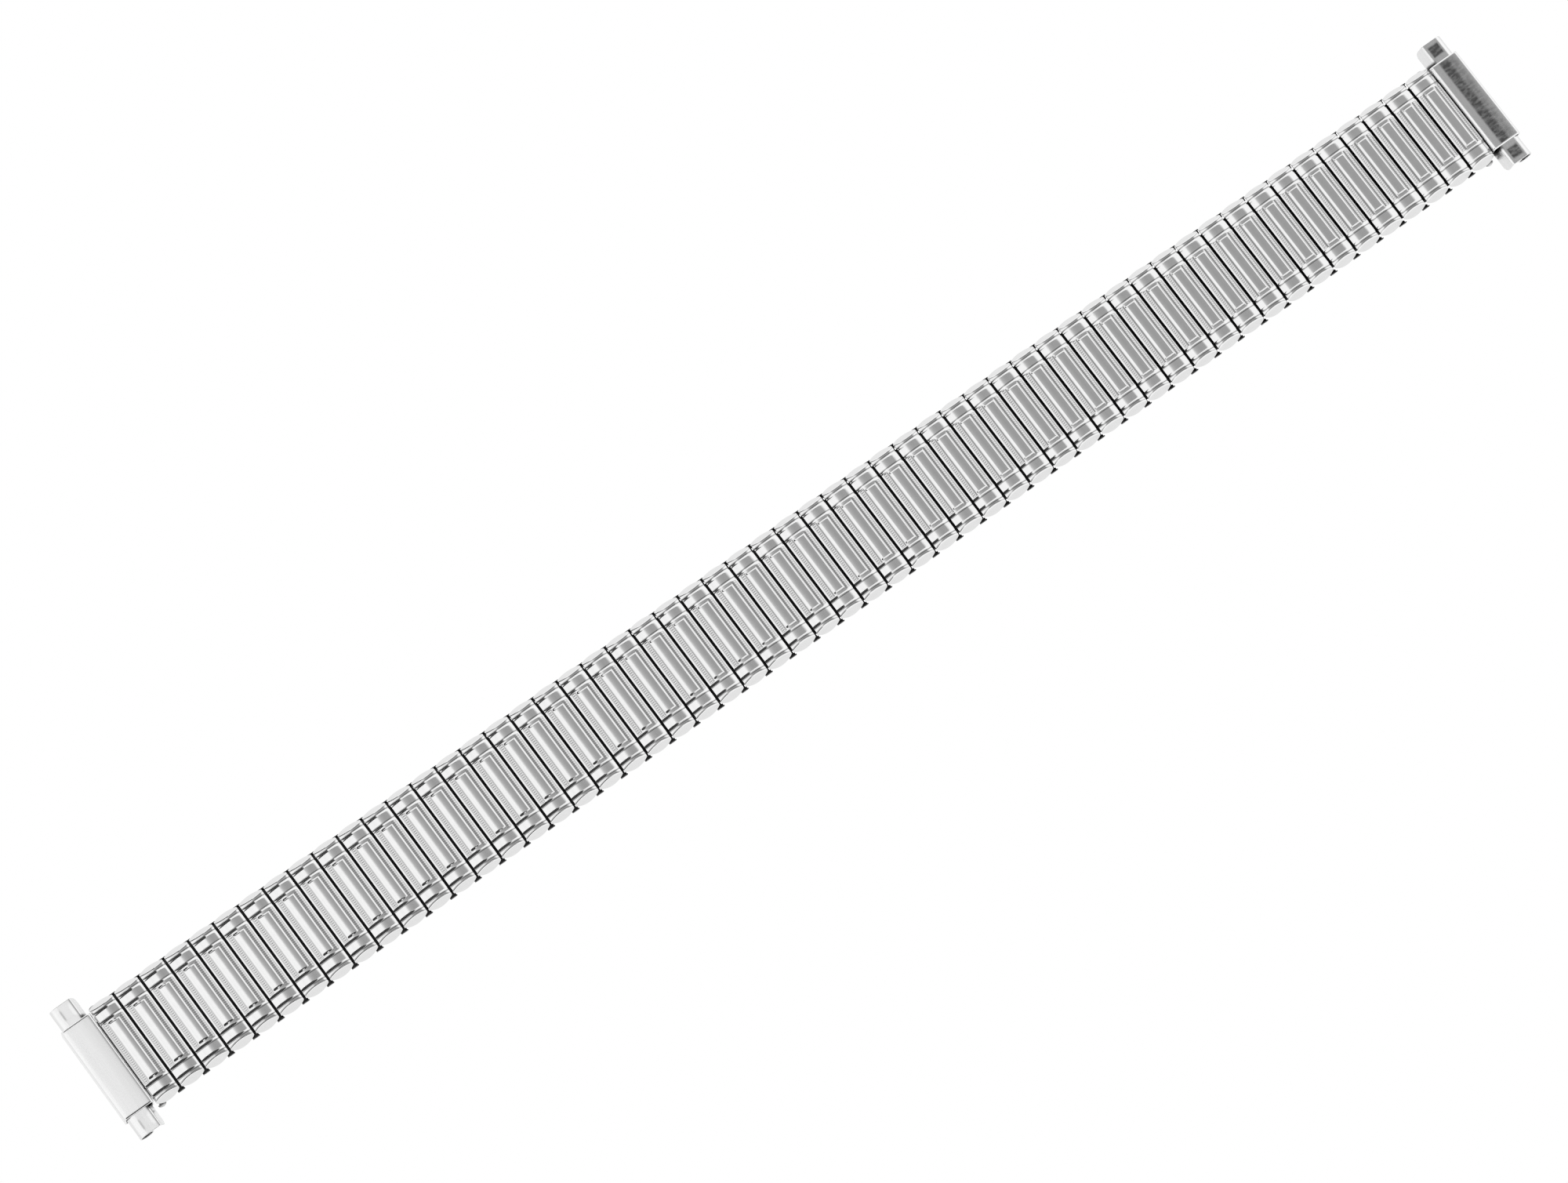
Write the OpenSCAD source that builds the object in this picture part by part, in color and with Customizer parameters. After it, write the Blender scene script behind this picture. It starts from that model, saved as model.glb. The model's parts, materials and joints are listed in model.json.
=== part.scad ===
// Expansion watch band with telescoping ends, laid out straight.
// X runs along the band, Y across it and Z up, with the decorated side on top.
// The near side is -Y and the far side is +Y.
// The origin is under the middle of the band, on the surface that it lies on.

/* [Band] */
// Distance from one top link to the next
link_pitch = 2.7; // [2.6:0.05:2.9]
// Gap between neighbouring top links at rest
link_gap = 0.25; // [0.2:0.01:0.3]
// Width of the band across its top shells
band_w = 10.9; // [10:0.1:14]
// Distance from the end of a top shell to the end of its sleeve
sleeve_inset = 0.7; // [0.68:0.01:0.8]

/* [Sleeves] */
// Sheet thickness of a sleeve
sleeve_t = 0.1; // [0.08:0.01:0.11]
// Height of a lower sleeve
lower_h = 0.85; // [0.8:0.01:0.9]
// Height of an upper sleeve
upper_h = 0.72; // [0.72:0.01:0.8]
// Gap between the two rows of sleeves
row_gap = 0.08; // [0.06:0.01:0.12]
// Width of a shell's skirt and its clearance, on each side of an upper sleeve
skirt_margin = 0.1; // [0.1:0.01:0.12]
// Chamfer along the edges of a sleeve
sleeve_chamfer = 0.08; // [0.05:0.01:0.1]

/* [Leaf springs] */
// Thickness of a leaf spring
spring_t = 0.08; // [0.06:0.01:0.08]
// Width of a leaf spring
spring_w = 1.7; // [1.2:0.1:1.7]
// Distance from the end of a sleeve to the end of its leaf spring
spring_inset = 0.25; // [0.1:0.05:0.6]
// Length of the raised middle of a leaf spring
spring_mid_len = 2.2; // [1.5:0.1:3]
// Rise from the ends of a leaf spring to its middle, in an upper sleeve
upper_spring_rise = 0.06; // [0.03:0.01:0.06]
// Rise from the ends of a leaf spring to its middle, in a lower sleeve
lower_spring_rise = 0.26; // [0.1:0.01:0.28]
// Width of the tongue at each end of a lower leaf spring, where it passes the staples
tongue_w = 0.48; // [0.4:0.02:0.56]
// Width of the tongue's head, outside the staples
tongue_head_w = 0.7; // [0.6:0.02:0.8]
// Distance that the tongue falls short of the band's width at each side
tongue_inset = 0.08; // [0.06:0.01:0.2]
// Height of the tongue with its turned-up tip
tongue_h = 0.5; // [0.3:0.05:0.5]

/* [Staples] */
// Width of a staple's strip
staple_w = 0.3; // [0.25:0.01:0.3]
// Thickness of a staple's strip
staple_t = 0.18; // [0.14:0.01:0.18]
// Length of a staple's leg inside a sleeve
staple_leg = 2.2; // [1.5:0.1:3]
// Clearance between the end of a sleeve and the back of a staple
staple_side_clear = 0.05; // [0.04:0.01:0.06]
// Clearance between a leg and the wall that it lies along
leg_clear = 0.04; // [0.03:0.01:0.05]
// Room between the two legs in one half of an upper sleeve
leg_spacing = 0.15; // [0.12:0.01:0.18]
// Distance that two links can be pulled apart
stretch_travel = 1.2; // [0.6:0.05:1.2]

/* [Top shells] */
// Sheet thickness of a top shell
shell_t = 0.1; // [0.08:0.01:0.1]
// Height of the crown above the edges of a shell
crown_rise = 0.32; // [0.28:0.01:0.36]
// Height of the shell's edge above the upper sleeve, at the outer tier
shell_edge_lift = 0.07; // [0.07:0.01:0.1]
// Height of the step between two tiers of a shell
tier_step = 0.09; // [0.06:0.01:0.09]
// Length of the middle tier at each end
middle_tier_len = 1.02; // [0.9:0.02:1.1]
// Length of the outer tier at each end
outer_tier_len = 0.53; // [0.4:0.01:0.6]
// Length of the sloping end, seen from above
end_slope_len = 0.57; // [0.5:0.01:0.6]
// Width of the raised bar on a shell
bar_w = 1.2; // [0.9:0.01:1.3]
// Height of the raised bar above the crown
bar_rise = 0.1; // [0.05:0.01:0.12]
// Distance from the raised bar to the end of the patterned middle
bar_inset = 0.23; // [0.2:0.01:0.4]
// Width of the bevel round the raised bar
bar_bevel = 0.12; // [0.08:0.01:0.15]
// Gap between the lower edge of a shell's end and the lower row
shell_end_clear = 0.1; // [0.08:0.01:0.15]
// Height that is cut from the lower corners of a shell's end
corner_cut = 0.5; // [0.3:0.01:0.55]
// Clearance between a shell and its sleeve
seat_clear = 0.02; // [0.015:0.001:0.02]

/* [End pieces] */
// Size of an end shell along the band
end_x = 3.1; // [3.1:0.05:3.6]
// Distance that an end shell falls short of the band's width at each side
end_inset = 0.575; // [0.4:0.005:0.65]
// Height of the top of an end shell
end_top_z = 2.3; // [2.3:0.01:2.5]
// Sheet thickness of the end pieces
end_t = 0.14; // [0.12:0.01:0.14]
// Outer radius along the upper edges of an end shell
end_round = 0.35; // [0.25:0.01:0.4]
// Gap between the last top shell and the end shell
end_gap = 0.1; // [0.1:0.01:0.14]
// Length of the crimped lips under an end shell
lip_len = 0.45; // [0.3:0.01:0.45]
// Height of the gap under the crimped lips
lip_z = 0.02; // [0.01:0.01:0.05]
// Clearance between the frame plate and the lips
lip_clear = 0.02; // [0.015:0.001:0.03]
// Gap from the ends of the frame plate to the ends of the end shell
frame_inset = 0.1; // [0.08:0.01:0.2]

/* [Hinge] */
// Radius of the hinge pin
pin_r = 0.25; // [0.2:0.01:0.26]
// Distance that the hinge pin stands out of the sleeve at each side
pin_proud = 0.8; // [0.6:0.01:0.85]
// Radius of the heads of the hinge pin
pin_head_r = 0.42; // [0.35:0.01:0.42]
// Thickness of the heads of the hinge pin
pin_head_t = 0.28; // [0.2:0.01:0.3]
// Radial clearance of the rolled eye on the pin
pin_clear = 0.03; // [0.02:0.005:0.04]
// Radial clearance of the pin in the ears
ear_clear = 0.012; // [0.01:0.001:0.015]
// Sheet thickness of the rolled eye
eye_t = 0.14; // [0.12:0.01:0.14]
// Distance from the end of the last sleeve to the ear that holds the pin
ear_inset = 0.25; // [0.1:0.01:0.3]
// Thickness of an ear
ear_t = 0.3; // [0.2:0.01:0.35]
// Clearance between an ear and the end of the rolled eye
ear_side_clear = 0.05; // [0.04:0.01:0.08]
// Distance from the last link's middle to the hinge pin
pin_offset = 0.75; // [0.7:0.01:0.76]

/* [Sliders] */
// Distance over the tips of the two sliders of an end, drawn right out
tip_to_tip = 14; // [13.5:0.1:16]
// Length of a slider
slider_len = 4.6; // [4:0.1:4.6]
// Travel of a slider into its end shell
slider_travel = 2; // [1:0.1:2]
// Clearance between a slider and the end shell
slider_clear = 0.06; // [0.05:0.01:0.08]
// Radius of the hole for the watch's spring bar
bore_r = 0.6; // [0.55:0.01:0.6]
// Wall of the rolled tube
tube_t = 0.12; // [0.1:0.01:0.14]
// Depth of a slider's inner flange
flange_depth = 1.55; // [1.2:0.05:1.6]
// Distance that the inner flange leans towards the links
flange_lean = 0.45; // [0.3:0.01:0.5]
// Radius of the lower corner at the tip of the inner flange
flange_corner_r = 0.6; // [0.3:0.05:0.8]
// Width of the pressed dimple on a slider
dimple_w = 1.1; // [0.8:0.05:1.2]
// Depth of the pressed dimple
dimple_depth = 0.05; // [0.03:0.01:0.07]
// Distance from a slider's tip to its dimple
dimple_inset = 0.45; // [0.3:0.05:0.6]

/* [Hidden] */
link_count = 56;
half_count = link_count / 2;
// Overrun of every cut
cut = 0.05;
$fn = 48;

// Of each seven gaps between two links, two are stiff, by their number from the left
function is_stiff(gap) = gap % 7 == 2 || gap % 7 == 3;

link_x = link_pitch - link_gap;
half_x = link_x / 2;
upper_x = link_x - 2 * skirt_margin;
sleeve_len = band_w - 2 * sleeve_inset;
spring_len = sleeve_len - 2 * spring_inset;
upper_z = lower_h + row_gap;
upper_top_z = upper_z + upper_h;
inner_half_x = upper_x / 2 - sleeve_t;

// Legs in an upper sleeve: the own leg lies outward, the reaching leg next to it
own_leg_x = inner_half_x - leg_clear - staple_w;
reach_leg_x = own_leg_x - leg_spacing - staple_w;
// The lower leg of a reaching staple, from the middle of the next top link
reach_low_x = -link_gap / 2 - sleeve_t - leg_clear - staple_w;
lower_leg_top = lower_h - sleeve_t - leg_clear;
upper_leg_base = upper_z + sleeve_t + leg_clear;
staple_in_y = sleeve_len / 2 + staple_side_clear;
staple_out_y = staple_in_y + staple_t;

// Leaf springs: the ends bear towards the legs, the middle on the far wall
lower_spring_base = sleeve_t + leg_clear / 2;
upper_spring_top = upper_top_z - sleeve_t - leg_clear / 2;

// Top shell
tier_edge_z = upper_top_z + shell_edge_lift;
crown_r = (half_x * half_x + crown_rise * crown_rise) / (2 * crown_rise);
outer_tier_y = band_w / 2 - end_slope_len;
middle_tier_y = outer_tier_y - outer_tier_len;
middle_y = middle_tier_y - middle_tier_len;
bar_len = 2 * (middle_y - bar_inset);
shell_end_z = upper_z + shell_end_clear;
shell_end_h = tier_edge_z + crown_rise - shell_end_z;
skirt_z = shell_end_z + corner_cut;
pocket_half_x = upper_x / 2 + seat_clear;

// Hinge and end pieces, measured from the middle of the last link
last_x = (half_count - 0.5) * link_pitch;
pin_x = last_x + pin_offset;
eye_r = pin_r + pin_clear + eye_t;
pin_z = lip_z + eye_r;
end_in_x = last_x + half_x + end_gap;
end_out_x = end_in_x + end_x;
frame_z = lip_z + end_t + lip_clear;
ear_out_y = sleeve_len / 2 - ear_inset;
eye_len = 2 * (ear_out_y - ear_t - ear_side_clear);
eye_slot_y = eye_len / 2 + ear_side_clear;
pin_len = sleeve_len + 2 * pin_proud;
end_y = band_w - 2 * end_inset;

// Sliders
slider_out_x = end_out_x - end_t - slider_clear;
tube_r = bore_r + tube_t;
tube_x = slider_out_x - tube_r;
slider_top_z = end_top_z - end_t - slider_clear;
tube_z = slider_top_z - tube_r;
flange_low_x = end_in_x + end_t + slider_clear;
flange_top_x = flange_low_x + flange_lean;
slider_in_y = tip_to_tip / 2 - slider_len;

// Outer links that move as one body: runs across stiff gaps, else single links
function run_from(k) =
    is_stiff(k) && k < link_count ? concat([k], run_from(k + 1)) : [k];
function right_groups(k) =
    k > link_count ? [] :
    let (run = run_from(k)) concat([run], right_groups(k + len(run)));
outer_groups = right_groups(half_count + 2);
outer_runs = [for (group = outer_groups) if (len(group) > 1) group];
function left_group(group) = [for (i = [len(group) - 1 : -1 : 0]) link_count + 1 - group[i]];
function pad(k) = k < 10 ? str("0", k) : str(k);
function run_label(group) = str(pad(group[0]), "_to_", pad(group[len(group) - 1]));
function group_name(group) =
    len(group) == 1 ? str("link_", pad(group[0])) : str("links_", run_label(group));
function inner_name(group) = str("staples_and_springs_", run_label(group));

CENTER_NODES = ["center_top_shells", "center_sleeves", "center_leaf_springs", "center_staples"];
END_PIECES = ["end_shell", "end_frame", "hinge_pin", "slider_near", "slider_far"];

// Sections in the XZ plane are drawn in 2D and run across the band, centred on y = 0
module across(len) {
    rotate([90, 0, 0])
        linear_extrude(height = len, center = true)
            children();
}

// Sections in the YZ plane are drawn in 2D and run along the band, centred on x = 0
module along(len) {
    rotate([90, 0, 90])
        linear_extrude(height = len, center = true)
            children();
}

module chamfered_rect(w, h, c) {
    polygon([
        [-w / 2 + c, 0], [w / 2 - c, 0], [w / 2, c], [w / 2, h - c],
        [w / 2 - c, h], [-w / 2 + c, h], [-w / 2, h - c], [-w / 2, c]
    ]);
}

module both_sides() {
    children();
    mirror([0, 1, 0]) children();
}

// A flat tube of folded sheet, open at both sides of the band
module sleeve(w, h) {
    across(sleeve_len)
        difference() {
            chamfered_rect(w, h, sleeve_chamfer);
            translate([0, sleeve_t])
                chamfered_rect(w - 2 * sleeve_t, h - 2 * sleeve_t, sleeve_chamfer / 2);
        }
}

module upper_sleeve() {
    color("lightsteelblue")
        translate([0, 0, upper_z])
            sleeve(upper_x, upper_h);
}

module lower_sleeve() {
    color("dimgray") sleeve(link_x, lower_h);
}

// A cranked strip: its ends lie at the height end_z, its middle is shifted by rise
module leaf_spring(end_z, rise) {
    half = spring_len / 2;
    mid = spring_mid_len / 2;
    top = [[-half, end_z], [-mid, end_z + rise], [mid, end_z + rise], [half, end_z]];
    color("slategray")
        along(spring_w)
            polygon(concat(top, [for (i = [3 : -1 : 0]) top[i] + [0, spring_t]]));
}

module upper_leaf_spring() {
    leaf_spring(upper_spring_top - spring_t - upper_spring_rise, upper_spring_rise);
}

// The spring of a lower sleeve has a tongue at each end, which keeps it from sliding
// out. The tongue's head is turned up and stands in the notch between two shells.
module lower_leaf_spring() {
    end_z = lower_spring_base + lower_spring_rise;
    root_y = spring_len / 2 - spring_t;
    head_y = staple_out_y + staple_side_clear;
    tip_y = band_w / 2 - tongue_inset;
    leaf_spring(end_z, -lower_spring_rise);
    color("slategray")
        both_sides() {
            translate([-tongue_w / 2, root_y, end_z])
                cube([tongue_w, head_y + spring_t - root_y, spring_t]);
            along(tongue_head_w)
                polygon([
                    [head_y, end_z], [tip_y, end_z], [tip_y, end_z + tongue_h],
                    [tip_y - spring_t, end_z + tongue_h], [tip_y - spring_t, end_z + spring_t],
                    [head_y, end_z + spring_t]
                ]);
        }
}

// A staple on the far side: two legs that run into a lower and an upper sleeve,
// joined by a back outside the sleeves. low_x and high_x are the legs' left edges.
module staple(low_x, high_x) {
    low_z = lower_leg_top - staple_t;
    high_z = upper_leg_base + staple_t;
    leg_y = staple_in_y - staple_leg;
    back = low_x == high_x
        ? [[low_x, low_z], [low_x + staple_w, low_z],
           [high_x + staple_w, high_z], [high_x, high_z]]
        : [[low_x, low_z], [low_x + staple_w, low_z],
           [high_x + staple_w, upper_leg_base], [high_x + staple_w, high_z],
           [high_x, high_z], [low_x, lower_leg_top]];
    color("silver") {
        translate([0, (staple_in_y + staple_out_y) / 2, 0])
            across(staple_t)
                polygon(back);
        translate([low_x, leg_y, low_z])
            cube([staple_w, staple_out_y - leg_y, staple_t]);
        translate([high_x, leg_y, upper_leg_base])
            cube([staple_w, staple_out_y - leg_y, staple_t]);
    }
}

// The staple that joins a link's upper sleeve to its own lower sleeve
module own_staple() {
    staple(own_leg_x, own_leg_x);
}

// The staple that reaches from a lower sleeve into the next upper sleeve outward
module reach_staple() {
    translate([link_pitch, 0, 0])
        staple(reach_low_x, reach_leg_x);
}

// The crowned section of a shell at one tier, of thickness t below edge_z
module crown_section(edge_z, low_z, w) {
    intersection() {
        translate([-w / 2, low_z])
            square([w, edge_z + crown_rise - low_z]);
        translate([0, edge_z + crown_rise - crown_r])
            circle(r = crown_r, $fn = 180);
    }
}

// The sloping end of a shell, as a section in the YZ plane, set back by inset
module end_slope(inset, low_z, top_z) {
    run_share = end_slope_len / shell_end_h;
    low_y = band_w / 2 - inset + (shell_end_z - low_z) * run_share;
    high_y = low_y - (top_z - low_z) * run_share;
    polygon([[-low_y, low_z], [low_y, low_z], [high_y, top_z], [-high_y, top_z]]);
}

// One tier: the sheet over the length 2 * y, with its skirts, below the crown
module tier(y, edge_z) {
    across(2 * y) crown_section(edge_z, shell_end_z, link_x);
}

// The outer form of a shell without the raised bar
module shell_form() {
    top_z = tier_edge_z + crown_rise;
    tier(middle_y, tier_edge_z + 2 * tier_step);
    tier(middle_tier_y, tier_edge_z + tier_step);
    intersection() {
        tier(band_w / 2, tier_edge_z);
        along(link_x + 2 * cut) end_slope(0, shell_end_z, top_z);
    }
}

// The hollow under a shell
module shell_hollow() {
    slope_inset = shell_t * sqrt(1 + pow(end_slope_len / shell_end_h, 2));
    top_z = tier_edge_z + crown_rise - shell_t;
    low_z = shell_end_z - cut;
    across(2 * middle_y - 2 * shell_t)
        crown_section(tier_edge_z + 2 * tier_step - shell_t, low_z, 2 * pocket_half_x);
    across(2 * middle_tier_y - 2 * shell_t)
        crown_section(tier_edge_z + tier_step - shell_t, low_z, 2 * pocket_half_x);
    intersection() {
        across(band_w) crown_section(tier_edge_z - shell_t, low_z, 2 * pocket_half_x);
        along(link_x) end_slope(slope_inset, low_z, top_z);
    }
}

// The cuts that leave a shell short at its long sides and a half-moon at each end
module shell_trim() {
    moon_r = (half_x * half_x + corner_cut * corner_cut) / (2 * corner_cut);
    across(band_w + 2 * cut)
        difference() {
            translate([-half_x - cut, shell_end_z - cut])
                square([link_x + 2 * cut, corner_cut + cut]);
            translate([0, shell_end_z + moon_r])
                circle(r = moon_r, $fn = 180);
        }
    translate([-half_x - cut, -staple_out_y, shell_end_z - cut])
        cube([link_x + 2 * cut, 2 * staple_out_y, corner_cut + cut]);
}

module raised_bar() {
    base_z = tier_edge_z + 2 * tier_step + crown_rise - shell_t;
    top_z = base_z + shell_t + bar_rise;
    h = top_z - base_z;
    intersection() {
        across(bar_len)
            polygon([
                [-bar_w / 2, base_z], [bar_w / 2, base_z],
                [bar_w / 2 - bar_bevel, top_z], [-bar_w / 2 + bar_bevel, top_z]
            ]);
        along(bar_w)
            polygon([
                [-bar_len / 2, base_z], [bar_len / 2, base_z],
                [bar_len / 2 - bar_bevel, base_z + h], [-bar_len / 2 + bar_bevel, base_z + h]
            ]);
    }
}

module top_shell() {
    color("gainsboro") {
        difference() {
            shell_form();
            shell_hollow();
            shell_trim();
        }
        raised_bar();
    }
}

// The ears under the last upper sleeve, which hold the hinge pin
module ears() {
    both_sides()
        translate([pin_offset, ear_out_y - ear_t / 2, 0])
            across(ear_t)
                difference() {
                    union() {
                        translate([0, pin_z]) circle(r = eye_r);
                        translate([-eye_r, pin_z])
                            square([2 * eye_r, upper_z + sleeve_t / 2 - pin_z]);
                    }
                    translate([0, pin_z]) circle(r = pin_r + ear_clear);
                }
}

module place(k) {
    translate([(k - half_count - 0.5) * link_pitch, 0, 0]) children();
}

// The shell and sleeve of a link of the right half, with the lower sleeve outward of it
module shell_and_sleeves(k) {
    place(k) {
        top_shell();
        if (k < link_count) {
            upper_sleeve();
            translate([link_pitch / 2, 0, 0]) lower_sleeve();
        } else {
            color("lightsteelblue") {
                upper_sleeve();
                ears();
            }
        }
    }
}

// What a link of the right half holds inside, with the lower sleeve outward of it
module staples_and_springs(k) {
    place(k) {
        upper_leaf_spring();
        if (k < link_count) {
            translate([link_pitch / 2, 0, 0]) lower_leaf_spring();
            both_sides() {
                own_staple();
                reach_staple();
            }
        }
    }
}

// A single link has its inner pieces in its own node, a run of links in a second one
module right_group(group) {
    for (k = group) {
        shell_and_sleeves(k);
        if (len(group) == 1) staples_and_springs(k);
    }
}

module right_run_inside(group) {
    for (k = group) staples_and_springs(k);
}

module both_ends() {
    children();
    mirror([1, 0, 0]) children();
}

// The middle of the band: the two links and three lower sleeves that stay put
module center_top_shells() {
    both_ends() place(half_count + 1) top_shell();
}

module center_sleeves() {
    lower_sleeve();
    both_ends() {
        place(half_count + 1) upper_sleeve();
        translate([link_pitch, 0, 0]) lower_sleeve();
    }
}

module center_leaf_springs() {
    lower_leaf_spring();
    both_ends() {
        place(half_count + 1) upper_leaf_spring();
        translate([link_pitch, 0, 0]) lower_leaf_spring();
    }
}

module center_staples() {
    both_ends() both_sides() {
        place(half_count + 1) {
            own_staple();
            reach_staple();
        }
        place(half_count) reach_staple();
    }
}

// The section of an end shell: a top, two sides and two lips round the frame plate
module end_section(inset, low_z) {
    x0 = end_in_x + inset;
    x1 = end_out_x - inset;
    top = end_top_z - inset;
    r = end_round - inset;
    translate([x0, low_z]) square([x1 - x0, top - r - low_z]);
    translate([x0 + r, low_z]) square([x1 - x0 - 2 * r, top - low_z]);
    for (x = [x0 + r, x1 - r])
        translate([x, top - r]) circle(r = r);
}

module end_shell() {
    lip_top = lip_z + end_t;
    color("whitesmoke")
        difference() {
            across(end_y) end_section(0, lip_z);
            across(end_y + 2 * cut) {
                end_section(end_t, lip_top);
                translate([end_in_x + end_t + lip_len, lip_z - cut])
                    square([end_x - 2 * end_t - 2 * lip_len, end_t + 2 * cut]);
            }
            // The opening that the rolled eye's tongue leaves through
            across(2 * eye_slot_y)
                translate([end_in_x - cut, lip_z - cut])
                    square([
                        end_t + lip_len + 2 * cut,
                        frame_z + end_t + lip_clear - lip_z + cut
                    ]);
        }
}

module end_frame() {
    plate_y = end_y - 2 * frame_inset;
    plate_x0 = end_in_x + end_t + lip_clear;
    plate_x1 = end_out_x - end_t - lip_clear;
    color("gray")
        difference() {
            union() {
                translate([plate_x0, -plate_y / 2, frame_z])
                    cube([plate_x1 - plate_x0, plate_y, end_t]);
                translate([pin_x, -eye_len / 2, frame_z])
                    cube([plate_x0 - pin_x + cut, eye_len, end_t]);
                across(eye_len) translate([pin_x, pin_z]) circle(r = eye_r);
            }
            across(eye_len + 2 * cut)
                translate([pin_x, pin_z]) circle(r = pin_r + pin_clear);
        }
}

// The hinge pin, with a riveted head outside the staples at each side
module hinge_pin() {
    color("silver") {
        across(pin_len) translate([pin_x, pin_z]) circle(r = pin_r);
        both_sides()
            translate([0, (pin_len - pin_head_t) / 2, 0])
                across(pin_head_t) translate([pin_x, pin_z]) circle(r = pin_head_r);
    }
}

// The section of a slider: a flat top, a leaning inner flange and a rolled tube
module slider_section() {
    low_z = slider_top_z - flange_depth;
    difference() {
        union() {
            polygon([
                [flange_low_x, low_z], [flange_low_x + end_t, low_z],
                [flange_top_x + end_t, slider_top_z - end_t],
                [tube_x, slider_top_z - end_t], [tube_x, slider_top_z],
                [flange_top_x, slider_top_z]
            ]);
            translate([tube_x, tube_z]) circle(r = tube_r);
        }
        translate([tube_x, tube_z]) circle(r = bore_r);
    }
}

// What rounds the lower corner at the tip of the inner flange. Its centre is set out
// by the overrun, so that the arc crosses both faces.
module flange_corner_cut() {
    low_z = slider_top_z - flange_depth;
    corner_x = (flange_low_x + flange_top_x + end_t) / 2;
    r = flange_corner_r;
    translate([corner_x, tip_to_tip / 2 - r + cut, low_z + r - cut])
        along(flange_lean + end_t + 2 * cut)
            difference() {
                translate([0, -r]) square(r);
                circle(r = r);
            }
}

module slider_far() {
    mid_y = (slider_in_y + tip_to_tip / 2) / 2;
    dimple_x = (flange_top_x + tube_x + tube_r / 2) / 2;
    color("gainsboro")
        difference() {
            translate([0, mid_y, 0]) across(slider_len) slider_section();
            flange_corner_cut();
            translate([
                dimple_x - dimple_w / 2,
                tip_to_tip / 2 - dimple_inset - dimple_w,
                slider_top_z - dimple_depth
            ])
                cube([dimple_w, dimple_w, dimple_depth + cut]);
        }
}

module slider_near() {
    mirror([0, 1, 0]) slider_far();
}

module end_piece(piece) {
    if (piece == "end_shell") end_shell();
    if (piece == "end_frame") end_frame();
    if (piece == "hinge_pin") hinge_pin();
    if (piece == "slider_near") slider_near();
    if (piece == "slider_far") slider_far();
}

center_top_shells();
center_sleeves();
center_leaf_springs();
center_staples();
for (group = outer_groups) {
    right_group(group);
    mirror([1, 0, 0]) right_group(group);
}
for (run = outer_runs) {
    right_run_inside(run);
    mirror([1, 0, 0]) right_run_inside(run);
}
for (piece = END_PIECES) {
    end_piece(piece);
    mirror([1, 0, 0]) end_piece(piece);
}
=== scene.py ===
"""Expansion watch band with telescoping ends: the fine shapes and the finish of every piece.

Shapes are worked out in millimetres and become metres when a mesh is made. X runs along
the band, Y across it and Z up. What belongs to the left half is the right half's mesh,
turned half round.
"""
import json
import math

import bmesh
import bpy
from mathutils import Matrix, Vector


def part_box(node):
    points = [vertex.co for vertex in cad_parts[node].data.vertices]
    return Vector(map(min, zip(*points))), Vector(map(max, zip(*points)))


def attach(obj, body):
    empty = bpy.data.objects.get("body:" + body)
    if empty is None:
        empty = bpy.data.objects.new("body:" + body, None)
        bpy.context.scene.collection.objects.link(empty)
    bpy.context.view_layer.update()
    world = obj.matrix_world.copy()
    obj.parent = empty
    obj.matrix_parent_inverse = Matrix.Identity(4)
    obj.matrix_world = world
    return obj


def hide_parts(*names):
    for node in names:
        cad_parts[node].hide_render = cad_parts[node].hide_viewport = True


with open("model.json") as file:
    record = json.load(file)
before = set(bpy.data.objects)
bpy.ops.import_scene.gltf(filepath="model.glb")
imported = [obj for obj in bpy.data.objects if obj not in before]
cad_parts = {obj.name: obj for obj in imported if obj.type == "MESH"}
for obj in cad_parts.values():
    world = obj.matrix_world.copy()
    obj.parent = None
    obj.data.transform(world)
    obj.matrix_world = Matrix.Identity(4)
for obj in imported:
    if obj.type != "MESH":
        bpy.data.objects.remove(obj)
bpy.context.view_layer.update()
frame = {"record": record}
BODIES = frame["record"]["behaviour"]["bodies"]
MM = 0.001


def corner(node, which):
    """A node's lowest (0) or highest (1) corner, in millimetres."""
    return [round(v / MM, 4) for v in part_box(node)[which]]


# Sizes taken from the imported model
SHELL_HIGH = corner("center_top_shells", 1)
SLEEVE_HIGH = corner("center_sleeves", 1)
STAPLE_HIGH = corner("center_staples", 1)
END_LOW = corner("right_end_shell", 0)
END_HIGH = corner("right_end_shell", 1)
PLATE_LOW = corner("right_end_frame", 0)
PLATE_HIGH = corner("right_end_frame", 1)
PIN_HIGH = corner("right_hinge_pin", 1)
SLIDER_LOW = corner("right_slider_far", 0)
SLIDER_HIGH = corner("right_slider_far", 1)
PITCH = 2 * (SLEEVE_HIGH[0] - SHELL_HIGH[0])
HALF_LINK = (2 * SHELL_HIGH[0] - PITCH) / 2
HALF_BAND = SHELL_HIGH[1]
HALF_SLEEVE = SLEEVE_HIGH[1]
UPPER_TOP = SLEEVE_HIGH[2]
STAPLE_OUT = STAPLE_HIGH[1]
LINKS = 56
MIDDLE = (LINKS + 1) / 2

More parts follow.
